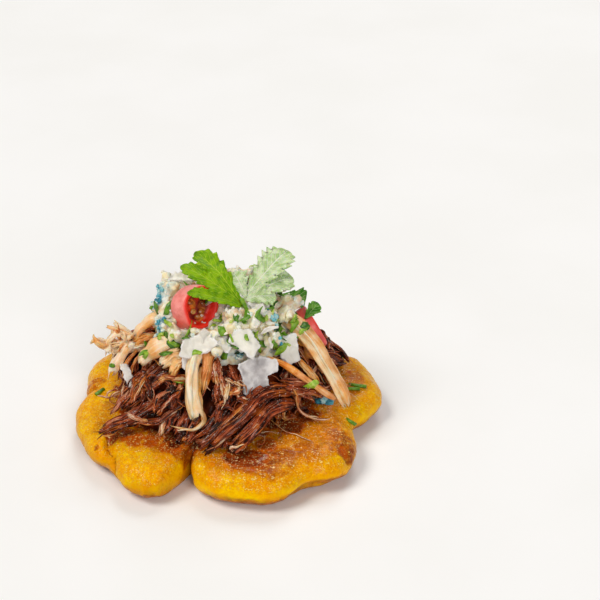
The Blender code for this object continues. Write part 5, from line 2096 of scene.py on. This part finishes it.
@dataclass
class CheeseShavings:
    """The thin shavings of hard cheese."""

    curls: tuple[ShavingPlan, ...] = plans(
        ShavingPlan,
        ('shaving_front', ((-5.0, 3.0), (-3.4, -5.4), (3.4, -4.0), (2.6, -0.4), (5.4, 0.8), (5.3, 3.9),
         (-0.8, 5.0)), (8.2, -13.2, 24.2), 52.0, 0.0, 0.6),
        ('shaving_left', ((-5.2, -2.8), (-4.0, 1.6), (1.4, 3.8), (5.8, 0.6), (2.4, -1.4), (-1.8, -3.0)),
         (-7.2, -9.6, 31.4), 48.0, -4.0, 1.2, 0.8),
        ('shaving_middle', ((-4.6, 1.2), (-2.0, 4.2), (1.4, 4.0), (3.8, -0.8), (1.6, -4.2), (-1.6, -1.4)),
         (5.2, -10.6, 32.4), 56.0, 6.0, -0.8, 0.9),
        ('shaving_right', ((-2.6, 3.6), (2.8, 4.0), (3.0, -3.4), (-0.6, -4.0), (-2.4, -1.6)),
         (16.8, -6.6, 27.2), 60.0, 22.0, 0.8, 0.9),
        ('shaving_low_left', ((-2.6, 3.0), (-0.6, 3.4), (2.6, -3.0), (0.0, -3.4)), (-26.6, -4.6, 19.6),
         42.0, -2.0, 0.5, 0.5),
        ('shaving_top_left', ((-4.8, -1.0), (-3.6, 1.4), (2.6, 1.8), (4.8, 0.2), (3.2, -1.6)),
         (-10.6, 11.6, 40.4), 30.0, 6.0, 0.8, 1.0),
        ('shaving_top_right', ((-3.0, 1.8), (2.4, 2.6), (3.4, -1.8), (-1.8, -2.6)), (15.2, 9.6, 38.4),
         36.0, 24.0, 0.7, 0.6),
        ('shaving_back', ((-4.4, 2.4), (1.0, 3.4), (4.6, 1.0), (3.0, -3.0), (-2.6, -2.6)),
         (5.6, 22.8, 34.0), -48.0, 12.0, 1.0),
        ('shaving_back_left', ((-3.6, 2.6), (2.8, 2.2), (3.4, -2.6), (-1.0, -3.4)), (-14.6, 19.6, 33.4),
         -40.0, -34.0))
    # Shavings that stand for no node of the solids.
    extra: tuple[ShavingPlan, ...] = plans(
        ShavingPlan,
        ('bar', ((-3.7, -2.0), (-3.9, -0.9), (3.4, 2.3), (3.9, 1.2)), (3.2, -5.6, 36.2),
         52.0, 0.0, 0.2, 0.5),
        ('clear', ((-3.0, 0.8), (-1.4, 2.0), (2.6, 1.5), (3.0, -0.8), (-1.6, -1.8)), (9.2, -0.8, 38.0),
         48.0, 6.0, 0.8, 0.45),
        ('corner', ((-2.4, 1.2), (-0.4, 2.4), (2.4, 1.0), (1.2, -2.0), (-1.8, -1.6)), (-0.2, -8.8, 31.0),
         40.0, -10.0, 0.8, 0.7),
        ('under', ((-2.2, 1.6), (1.6, 1.4), (1.4, -1.4), (-0.6, -2.2), (-2.0, -1.0)), (-9.6, -11.4, 27.6),
         50.0, 0.0, 0.8, 0.3))
    thickness: float = 1.1
    voxel: float = 0.26
    small: int = 46

    def build(self, shared: SharedEffects, surface: Surface) -> list[Piece]:
        """Builds the shavings and the small flakes.

        Args:
            shared: The shared effects.
            surface: What the small flakes lie on.

        Returns:
            The pieces.
        """
        finish, slot = ShavedCheese().material(shared), "shaved_cheese"
        return [*(serve(self.shaving(plan), finish, slot, plan.node) for plan in self.curls),
                *(serve(self.shaving(plan), finish, slot) for plan in self.extra),
                serve(self.flakes(surface), finish, slot)]

    def shaving(self, plan: ShavingPlan) -> Piece:
        """One shaving with a broken edge and a slight curl.

        Args:
            plan: What it is like.

        Returns:
            The piece.
        """
        bm = bmesh.new()
        bm.faces.new([bm.verts.new((x * MM, y * MM, -self.thickness / 2 * MM)) for x, y in plan.outline])
        thicken(bm, self.thickness * MM)
        bmesh.ops.recalc_face_normals(bm, faces=bm.faces)
        piece = piece_from(bm, plan.node + "_curl")
        reskin(piece, self.voxel, 2)
        skin = Skin(piece)
        seed, points = plan.middle[0], skin.points
        edge = ease(np.hypot(skin.normals[:, 0], skin.normals[:, 1]), 0.3, 0.8)
        torn = 0.55 * noise_over(points, 2.2, seed, 2) + 0.30 * noise_over(points, 0.8, seed + 1, 2)
        skin.push(edge * torn + 0.20 * noise_over(points, 1.2, seed + 3, 2))
        inward = skin.spread(edge, 14)
        skin.paint("edge", ease(inward + 0.25 * noise_over(points, 1.5, seed + 5, 2), 0.05, 0.75))
        skin.paint("tone", np.full(len(points), plan.warm))
        points = skin.points
        flat = points * np.array((1.0, 1.0, 0.0))
        points[:, 2] += plan.bend * (points[:, 0] ** 2 / 16.0 - 0.5)
        points[:, 2] += 0.9 * noise_over(flat, 4.5, seed + 7) + 0.3 * noise_over(flat, 1.6, seed + 9)
        turn = (Matrix.Rotation(math.radians(plan.turn), 3, "Z")
                @ Matrix.Rotation(math.radians(plan.lean), 3, "X"))
        skin.points = points @ np.array(turn).T + np.array(plan.middle)
        skin.write()
        return piece

    def flakes(self, surface: Surface) -> Piece:
        """Small flakes scattered over the cap.

        Args:
            surface: What they lie on.

        Returns:
            One joined piece.
        """
        draw = np.random.default_rng(41)
        bm = bmesh.new()
        bmesh.ops.create_circle(bm, cap_ends=True, segments=7, radius=1.0)
        thicken(bm, 0.3)
        flake = Template(bm)
        places, tones = [], []
        for _ in range(self.small):
            hit = CheeseCap.above(surface, draw, 86.0)
            if hit is None:
                continue
            size, uneven = draw.uniform(0.9, 2.3), flake.ragged(draw, 0.35)
            shape = flake.points * np.array((size, size * draw.uniform(0.45, 0.9), 1.3))
            shape[:, :2] *= uneven
            shape[:, 2] += 0.12 * shape[:, 0] ** 2
            facing = unit(hit[1] + draw.normal(0.0, 0.4, 3))
            places.append(laid(shape, hit[0], facing, any_turn(draw), 0.3))
            tones.append(draw.uniform(0.3, 0.9))
        return flake.repeat("cheese_flakes", places, tones, smooth=False)


@dataclass(frozen=True)
class ChilliPlan:
    """One slice: its CAD node, middle, axis and length in mm, and how much painted sheen its skin has."""

    node: str
    middle: Place
    axis: Place
    length: float
    painted_sheen: float

    def turn(self) -> Array:
        """The rotation that lays the Z axis along the slice's own, for rows of points."""
        return np.array(Vector(self.axis).to_track_quat("Z", "Y").to_matrix()).T


@dataclass
class ChilliSlices:
    """The two slices of red chilli."""

    slices: tuple[ChilliPlan, ...] = (
        ChilliPlan("chilli_ring", (-8.0, 1.4, 36.9), (0.70, -0.62, 0.36), 5.6, 1.0),
        ChilliPlan("chilli_slice", (23.3, 7.0, 25.4), (0.83, 0.32, 0.45), 4.2, 0.1))
    radius: float = 6.5
    wall: float = 1.7
    steps: int = 72
    web_share: float = 0.2

    def build(self, shared: SharedEffects) -> None:
        """Builds both slices with their pith and seeds.

        Args:
            shared: The shared effects.
        """
        finish, seeds = ChilliFlesh().material(shared), SEED_FINISH.material(shared)
        for index, plan in enumerate(self.slices):
            serve(self.ring(plan, index), finish, "red_chilli", plan.node)
            serve(self.seeds(plan, index), seeds, "red_chilli")

    def ring(self, plan: ChilliPlan, index: int) -> Piece:
        """The turned wall with a thick cut rim and a sunken web of pith.

        Args:
            plan: The slice.
            index: Which slice it is.

        Returns:
            The piece.
        """
        end, outer, inner = plan.length / 2, self.radius, self.radius - self.wall
        web = end * self.web_share
        upper = [(0.0, web), (inner * 0.55, web * 0.8), (inner - 0.5, web), (inner, web + 0.6),
                 (inner + 0.1, end - 0.35), (inner + 0.5, end), (outer - 0.5, end),
                 (outer - 0.1, end - 0.35), (outer, end * 0.5)]
        lower = [(out, -height) for out, height in reversed(upper)]
        bm = bmesh.new()
        verts = [bm.verts.new((x * MM, 0.0, z * MM)) for x, z in upper + [(outer + 0.08, 0.0)] + lower]
        edges = [bm.edges.new(pair) for pair in zip(verts, verts[1:])]
        bmesh.ops.spin(bm, geom=verts + edges, cent=(0, 0, 0), axis=(0, 0, 1), angle=FULL_TURN,
                       steps=self.steps, use_merge=True)
        bmesh.ops.remove_doubles(bm, verts=bm.verts, dist=0.01 * MM)
        bmesh.ops.recalc_face_normals(bm, faces=bm.faces)
        piece = piece_from(bm, plan.node + "_cut")
        subdivision = piece.modifiers.new("Round", "SUBSURF")
        subdivision.levels = subdivision.render_levels = 1
        settle(piece)
        skin = Skin(piece)
        points = skin.points
        out = np.hypot(points[:, 0], points[:, 1])
        angle = np.arctan2(points[:, 1], points[:, 0])
        facing_up = (skin.normals @ plan.turn())[:, 2]
        skin.paint("cut", 1.0 - ease(out, outer - 0.45, outer - 0.1))
        # Painted sheen, strongest on the skin that faces up.
        skin.paint("painted_sheen", plan.painted_sheen * (0.3 + 0.7 * ease(facing_up, -0.35, 0.45)))
        # Painted shade: dark red patches on the web inside the hollow.
        skin.paint("deep", ease(out, inner - 0.1, inner - 1.3)
                   * ease(noise_over(points, 2.5, index + 2.0), -0.6, -0.1))
        skin.paint("pith", ease(out, inner + 0.1, inner - 1.2)
                   * ease(noise_over(points, 2.0, index + 6.0), 0.1, 0.4))
        sway = 1.0 + 0.035 * np.cos(3 * angle + index) + 0.025 * np.cos(5 * angle)
        points[:, :2] *= sway[:, None]
        points[:, 1] *= 0.93
        points[:, 2] += 0.5 * np.sin(angle + 1.0) * out / outer
        skin.push(0.10 * noise_over(points, 1.4, index + 5.0) * ease(out, inner + 0.6, inner - 0.2) * 4.0)
        skin.points = skin.points @ plan.turn() + np.array(plan.middle)
        skin.write()
        return shade(piece)

    def seeds(self, plan: ChilliPlan, index: int) -> Piece:
        """Flat pale seeds on the pith, on both sides.

        Args:
            plan: The slice.
            index: Which slice it is.

        Returns:
            One joined piece.
        """
        draw = np.random.default_rng(51 + index)
        bm = bmesh.new()
        bmesh.ops.create_uvsphere(bm, u_segments=12, v_segments=8, radius=1.0)
        seed = Template(bm)
        places = []
        for side in (1.0, -1.0):
            for step in range(6):
                angle = FULL_TURN * (step + draw.uniform(-0.2, 0.2)) / 6
                out = draw.uniform(1.6, 3.4)
                middle = np.array((out * math.cos(angle), out * math.sin(angle),
                                   side * (plan.length / 2 * self.web_share + 0.5)))
                facing = unit(np.array((draw.normal(0, 0.4), draw.normal(0, 0.4), side)))
                places.append(laid(seed.points * np.array((1.05, 0.75, 0.4)), middle, facing,
                                   any_turn(draw), 0.0))
        world = np.array(places) @ plan.turn() + np.array(plan.middle)
        return seed.repeat(plan.node + "_seeds", world, draw.uniform(0.0, 1.0, len(world)))


class LeafTint(Enum):
    """The greens of the leaves."""

    BRIGHT = LeafGreen("bright_leaf", "629400", "8CB600", "BAD63C", 9.0)
    PALE = LeafGreen("pale_leaf", "A4C07A", "D6E4B8", "F2F7E2", 11.0)
    DARK = LeafGreen("dark_leaf", "3A7818", "72A63E", "B0CC84", 5.0)


@dataclass(frozen=True)
class LeafPlan:
    """One blade: foot, tip and width in mm, the way it faces, its green, its teeth and its shape."""

    name: str
    foot: Place
    tip: Place
    width: float
    face: Place
    tint: LeafTint
    teeth: int
    blunt: float
    cup: float = 0.10
    droop: float = 0.08


@dataclass
class ParsleySprig:
    """The sprig that stands in the middle of the cheese."""

    leaves: tuple[LeafPlan, ...] = plans(
        LeafPlan,
        ("leaf_left_high", (4.9, -0.6, 39.8), (-7.2, 14.2, 47.8), 8.2, (0.2, -0.5, 0.85), LeafTint.BRIGHT,
         6, 0.2),
        ("leaf_left_middle", (4.6, -0.4, 39.8), (-11.4, 9.2, 46.2), 7.0, (0.2, -0.5, 0.85),
         LeafTint.BRIGHT, 6, 0.0),
        ("leaf_left_low", (5.0, -1.5, 39.2), (-9.4, -1.8, 44.2), 5.0, (0.2, -0.4, 0.9), LeafTint.BRIGHT,
         6, 0.0),
        ("leaf_right_high", (5.2, 0.6, 40.2), (17.6, 14.6, 47.0), 11.0, (-0.2, -0.5, 0.85), LeafTint.PALE,
         8, 0.6),
        ("leaf_right_middle", (5.4, 0.6, 40.0), (18.6, 7.6, 42.4), 9.0, (-0.2, -0.5, 0.85), LeafTint.PALE,
         6, 0.6),
        ("leaf_right_back", (5.8, 0.6, 40.4), (2.6, 8.8, 43.4), 7.6, (0.0, -0.5, 0.85), LeafTint.PALE,
         4, 1.0),
        ("leaf_right_low", (5.0, 0.6, 39.8), (13.8, 1.2, 40.2), 7.2, (-0.1, -0.5, 0.9), LeafTint.PALE,
         5, 0.7),
        ("leaf_folded_right", (16.0, 5.4, 37.6), (22.6, 7.6, 34.6), 6.2, (0.3, -0.8, 0.6), LeafTint.DARK,
         3, 1.0, 0.25, 0.1),
        ("leaf_folded_low", (21.8, 3.4, 30.8), (25.4, 4.8, 34.8), 4.6, (0.2, -0.8, 0.6), LeafTint.DARK,
         3, 0.8, 0.3, 0.1),
        ("leaf_folded_back", (-8.0, 19.0, 31.0), (-2.0, 24.6, 34.0), 5.6, (-0.1, 0.8, 0.6), LeafTint.DARK,
         3, 0.0, 0.3, 0.2))
    stem: tuple[Place, ...] = ((6.6, -3.4, 33.0), (6.2, -2.6, 36.6), (5.2, -1.6, 39.2), (4.4, -0.6, 40.4))
    thickness: float = 0.3
    cut: float = 0.36

    def build(self, shared: SharedEffects) -> None:
        """Builds the stem and every leaf.

        Args:
            shared: The shared effects.
        """
        finishes = {tint: tint.value.material(shared) for tint in LeafTint}
        stalk = Strand(np.array(self.stem), 0.7, 0.6, 0.55, 0.8)
        stem = Tube(12, 24).sweep("parsley_stem", [stalk], 0.05, 0.1, 61)
        serve(stem, HERB_FINISH.material(shared), "green_leaf", "parsley_sprig")
        for index, plan in enumerate(self.leaves):
            serve(self.leaf(plan, index), finishes[plan.tint], "green_leaf")

    def leaf(self, plan: LeafPlan, index: int) -> Piece:
        """One toothed blade with pleats between its veins.

        Args:
            plan: What it is like.
            index: Which leaf it is.

        Returns:
            The piece.
        """
        bm = bmesh.new()
        bmesh.ops.create_grid(bm, x_segments=18, y_segments=plan.teeth * 9, size=1.0)
        layer = bm.loops.layers.uv.new("leaf")
        for face in bm.faces:
            for loop in face.loops:
                loop[layer].uv = ((loop.vert.co.y + 1.0) / 2.0, loop.vert.co.x)
        foot, tip = Vector(plan.foot), Vector(plan.tip)
        along, length = (tip - foot).normalized(), (tip - foot).length
        across = along.cross(Vector(plan.face)).normalized()
        normal = across.cross(along)
        for vert in bm.verts:
            out, up = vert.co.x, (vert.co.y + 1.0) / 2.0
            tooth = 1.0 - self.cut * (1.0 - up * plan.teeth % 1.0) ** 1.2 * abs(out) ** 2
            fan = (0.04 + up) ** (0.62 + 0.4 * plan.blunt) * (1.0 - up ** (1.7 + 1.5 * plan.blunt)) ** 0.75
            width = plan.width / 2 * fan * tooth * (1.75 + 0.05 * plan.blunt)
            lead = 0.20 * abs(out) ** 1.3 * math.sin(math.pi * up)
            reach = length * min(1.0, up + lead * 0.8)
            pleat = 0.16 * math.cos(FULL_TURN * up * plan.teeth) * abs(out) * math.sin(math.pi * up)
            height = (plan.cup * width * out * out + pleat - plan.droop * length * (2 * up - 1) ** 2
                      + 0.5 * noise.noise(Vector((out * 1.5, up * 3.0, index * 3.7))))
            vert.co = (foot + along * reach + across * out * width + normal * height) * MM
        piece = piece_from(bm, plan.name)
        solid = piece.modifiers.new("Thick", "SOLIDIFY")
        solid.thickness = self.thickness * MM
        solid.offset = 0.0
        settle(piece)
        return shade(piece)


class HerbCut(Enum):
    """How the herbs are chopped."""

    LEAF = "leaf_bits"
    ROUND = "chive_rounds"
    STALK = "stalk_bits"


@dataclass
class ChoppedHerbs:
    """Chopped parsley and chives over the cheese, the meat and the plantain."""

    counts: dict[HerbCut, int] = field(default_factory=lambda: {
        HerbCut.LEAF: 62, HerbCut.ROUND: 14, HerbCut.STALK: 14})
    # Places where bits of leaf lie thick, and how many lie there in all.
    thick: tuple[Place, ...] = (
        (13.0, -4.0, 31.0), (17.0, -1.0, 31.0), (9.0, -6.5, 31.0), (-12.0, -5.0, 31.0))
    dense: int = 40
    # Bits of stalk on the plantain: plan place, heading in degrees and length in mm.
    fallen: tuple[tuple[float, float, float, float], ...] = (
        (36.4, 0.6, -16.0, 2.5), (34.8, -1.0, -4.0, 2.1), (33.2, -11.8, -50.0, 2.2),
        (-35.3, 1.8, 50.0, 1.6), (27.5, 12.0, 30.0, 2.2), (-29.0, 15.0, -20.0, 2.4),
        (-12.0, 33.0, 15.0, 2.2), (19.0, 30.5, 60.0, 2.6), (33.0, 17.0, -70.0, 2.0))

    def build(self, shared: SharedEffects, surface: Surface) -> None:
        """Scatters one piece of each cut over a surface.

        Args:
            shared: The shared effects.
            surface: What they lie on.
        """
        finish = HERB_FINISH.material(shared)
        for index, cut in enumerate(HerbCut):
            serve(self.scatter(cut, surface, np.random.default_rng(70 + index)), finish, "green_leaf")

    @staticmethod
    def shape(cut: HerbCut) -> Template:
        """The small shape of one cut, about one mm in size.

        Args:
            cut: The cut.

        Returns:
            The shape.
        """
        bm = bmesh.new()
        if cut is HerbCut.LEAF:
            bmesh.ops.create_circle(bm, cap_ends=True, segments=8, radius=1.0)
            bmesh.ops.poke(bm, faces=list(bm.faces))
            thicken(bm, 0.16)
        else:
            bmesh.ops.create_cone(bm, cap_ends=True, segments=8, radius1=1.0, radius2=1.0, depth=2.0)
        if cut is HerbCut.ROUND:
            caps = [face for face in bm.faces if abs(face.normal.z) > 0.9]
            bmesh.ops.inset_individual(bm, faces=caps, thickness=0.35, depth=0.0)
            caps = [face for face in bm.faces if len(face.verts) == 8]
            bmesh.ops.inset_individual(bm, faces=caps, thickness=0.05, depth=-0.7)
        return Template(bm)

    def scatter(self, cut: HerbCut, surface: Surface, draw: Draw) -> Piece:
        """Lays one cut over everything.

        Args:
            cut: The cut.
            surface: What it lies on.
            draw: The random numbers.

        Returns:
            The joined piece.
        """
        template = self.shape(cut)
        lengthwise = template.points[:, [2, 0, 1]]
        hits = [CheeseCap.above(surface, draw, 90.0 if index % 4 else 104.0)
                for index in range(self.counts[cut])]
        places, tones = [], []
        if cut is HerbCut.LEAF:
            heart = np.array((*CHEESE_HEAP.centre, 24.0))
            for index in range(self.dense):
                aim = np.array(self.thick[index % len(self.thick)]) + draw.normal(0.0, 1.9, 3)
                hits.append(surface.near(aim, heart))
        for x, y, heading, length in self.fallen if cut is HerbCut.STALK else ():
            place, _ = surface.strike(np.array((x, y, 60.0)), np.array((x, y, 0.0)))
            shape = lengthwise * np.array((length, 0.55, 0.44))
            places.append(laid(shape, place, UP, math.radians(heading), 0.4))
            tones.append(0.4)
        for hit in hits:
            if hit is None:
                continue
            place, facing = hit
            if cut is HerbCut.LEAF:
                size, uneven = draw.uniform(0.8, 2.4), template.ragged(draw, 0.3)
                shape = template.points * np.array((size, size * draw.uniform(0.35, 0.8), 1.5))
                shape[:, :2] *= uneven
                shape[:, 2] += draw.uniform(-0.25, 0.35) * shape[:, 0] ** 2
                facing = unit(facing + draw.normal(0.0, 0.45, 3))
            elif cut is HerbCut.ROUND:
                radius = draw.uniform(0.7, 1.2)
                shape = template.points * np.array((radius, radius * 0.8, draw.uniform(0.3, 0.7)))
                facing = unit(facing + draw.normal(0.0, 0.5, 3))
            else:
                radius = draw.uniform(0.28, 0.45)
                shape = lengthwise * np.array((draw.uniform(1.0, 2.2), radius, radius))
            places.append(laid(shape, place, facing, any_turn(draw), 0.3))
            tones.append(any_tone(draw, 0.62, 0.24, high=1.0))
        return template.repeat(cut.value, places, tones)


@dataclass
class JuiceFilm:
    """The thin pool of cooking juice round the foot of the heap."""

    spill: float = 0.89
    wander: float = 0.08
    rise: float = 0.45
    level: float = 9.9

    def build(self, shared: SharedEffects) -> Piece:
        """Builds the pool as one flat drop with an uneven edge.

        Args:
            shared: The shared effects.

        Returns:
            The piece.
        """
        bm = bmesh.new()
        bmesh.ops.create_uvsphere(bm, u_segments=160, v_segments=48, radius=1.0)
        for vert in bm.verts:
            out, angle = math.hypot(vert.co.x, vert.co.y), math.atan2(vert.co.y, vert.co.x)
            ring = Vector((math.cos(angle), math.sin(angle), 0.0))
            edge = self.spill + self.wander * noise.fractal(ring * 3.5, 0.8, 2.0, 3)
            edge *= float(BEEF_HEAP.edge(angle))
            x = BEEF_HEAP.centre[0] + BEEF_HEAP.reach[0] * edge * vert.co.x
            y = BEEF_HEAP.centre[1] + BEEF_HEAP.reach[1] * edge * vert.co.y
            rise = self.rise * max(0.0, 1.0 - out ** 6) ** 0.5
            ripple = 0.25 * noise.noise(Vector((x, y, 0.0)) / 3.0) * (1.0 - out)
            vert.co = Vector((x, y, self.level + (rise + ripple if vert.co.z >= 0.0 else -0.5))) * MM
        bmesh.ops.recalc_face_normals(bm, faces=bm.faces)
        return serve(shade(piece_from(bm, "juice_film")), JuiceAndGapShade().material(shared), "braised_beef")


@dataclass
class Studio:
    """A plain pale floor, soft light and the camera; distances in mm, angles in degrees."""

    camera_place: Place = (0.0, -352.24, 258.64)
    pitch: float = 31.90
    yaw: float = -3.29
    lens: float = 92.88
    sensor: float = 36.0
    floor_size: float = 6000.0
    softness: float = 28.0
    sky_strength: float = 0.17

    def build(self, shared: SharedEffects) -> None:
        """Sets up the floor, the lamps, an even bright surround and the camera.

        Args:
            shared: The shared effects.
        """
        bm = bmesh.new()
        bmesh.ops.create_grid(bm, x_segments=2, y_segments=2, size=self.floor_size / 2 * MM)
        floor = piece_from(bm, "floor")
        sheet = FinishSheet(shared, "pale_floor", Roughness=0.7)
        colour = sheet.noise(60.0).span(0.3, 0.7).mix("F7F7F6", "FAFAFA")
        sheet.feed(sheet.shader, {"Base Color": colour})
        floor.data.materials.append(sheet.material)
        self.lamp("key_light", (-620.0, -120.0, 935.0), 1.70, "FFFAF2")
        self.lamp("back_light", (200.0, 700.0, 785.0), 0.80, "FFFFFF")
        self.lamp("front_fill", (300.0, -850.0, 585.0), 1.16, "FFFFFF")
        world = bpy.data.worlds.new("soft_surround")
        world.use_nodes = True
        sky = world.node_tree.nodes["Background"].inputs
        sky["Color"].default_value = (1.0, 1.0, 1.0, 1.0)
        sky["Strength"].default_value = self.sky_strength
        bpy.context.scene.world = world
        bpy.context.scene.view_settings.view_transform = "Standard"
        self.camera()

    def lamp(self, name: str, place: Place, power: float, colour: str) -> None:
        """One broad, soft, far light that is as strong all over the floor.

        Args:
            name: Its name.
            place: Where it shines from, in mm.
            power: Its power in watts on each square metre.
            colour: Its colour.
        """
        light = bpy.data.lights.new(name, "SUN")
        light.energy = power
        light.angle = math.radians(self.softness)
        light.color = linear(colour)[:3]
        lamp = put_in_scene(name, light)
        lamp.location = Vector(place) * MM
        lamp.rotation_euler = (-Vector(place)).to_track_quat("-Z", "Y").to_euler()

    def camera(self) -> None:
        """The camera."""
        data = bpy.data.cameras.new("camera")
        data.lens = self.lens
        data.sensor_width = self.sensor
        camera = put_in_scene("camera", data)
        camera.location = Vector(self.camera_place) * MM
        camera.rotation_euler = (math.radians(90.0 - self.pitch), 0.0, math.radians(self.yaw))
        bpy.context.scene.camera = camera


def main() -> None:
    """Builds the tostone from the plate up."""
    logging.basicConfig(level=logging.INFO, format="%(name)s: %(message)s")
    shared = SharedEffects()
    disc = PlantainDisc().build(shared)
    film = JuiceFilm().build(shared)
    chicken_ways, beef_ways = (np.vstack([smooth_way(plan.way, 12) for plan in bundles])
                               for bundles in (CHICKEN_BUNDLES, BEEF_BUNDLES))
    curls = np.array([plan.middle for plan in CheeseShavings().curls])
    slices, axes = np.array([(plan.middle, plan.axis) for plan in ChilliSlices().slices]).swapaxes(0, 1)
    beef = PulledBeef().build(shared, [(beef_ways, 1.7), (chicken_ways, 2.6), (curls, 4.6), (slices, 7.0)])
    chicken = PulledChicken().build(shared, [(chicken_ways, 2.2), (curls, 4.6), (slices, 7.0)])
    cheese = CheeseCap().build(shared, [(slices + 4.2 * unit(axes), 6.8), (curls, 3.4)])
    shavings = CheeseShavings().build(shared, Surface(cheese[:2]))
    ChoppedHerbs().build(shared, Surface([disc, film, *beef[:2], *chicken[:2], *cheese[:2], *shavings]))
    ChilliSlices().build(shared)
    ParsleySprig().build(shared)
    Studio().build(shared)
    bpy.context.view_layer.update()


if __name__ == "__main__":
    main()
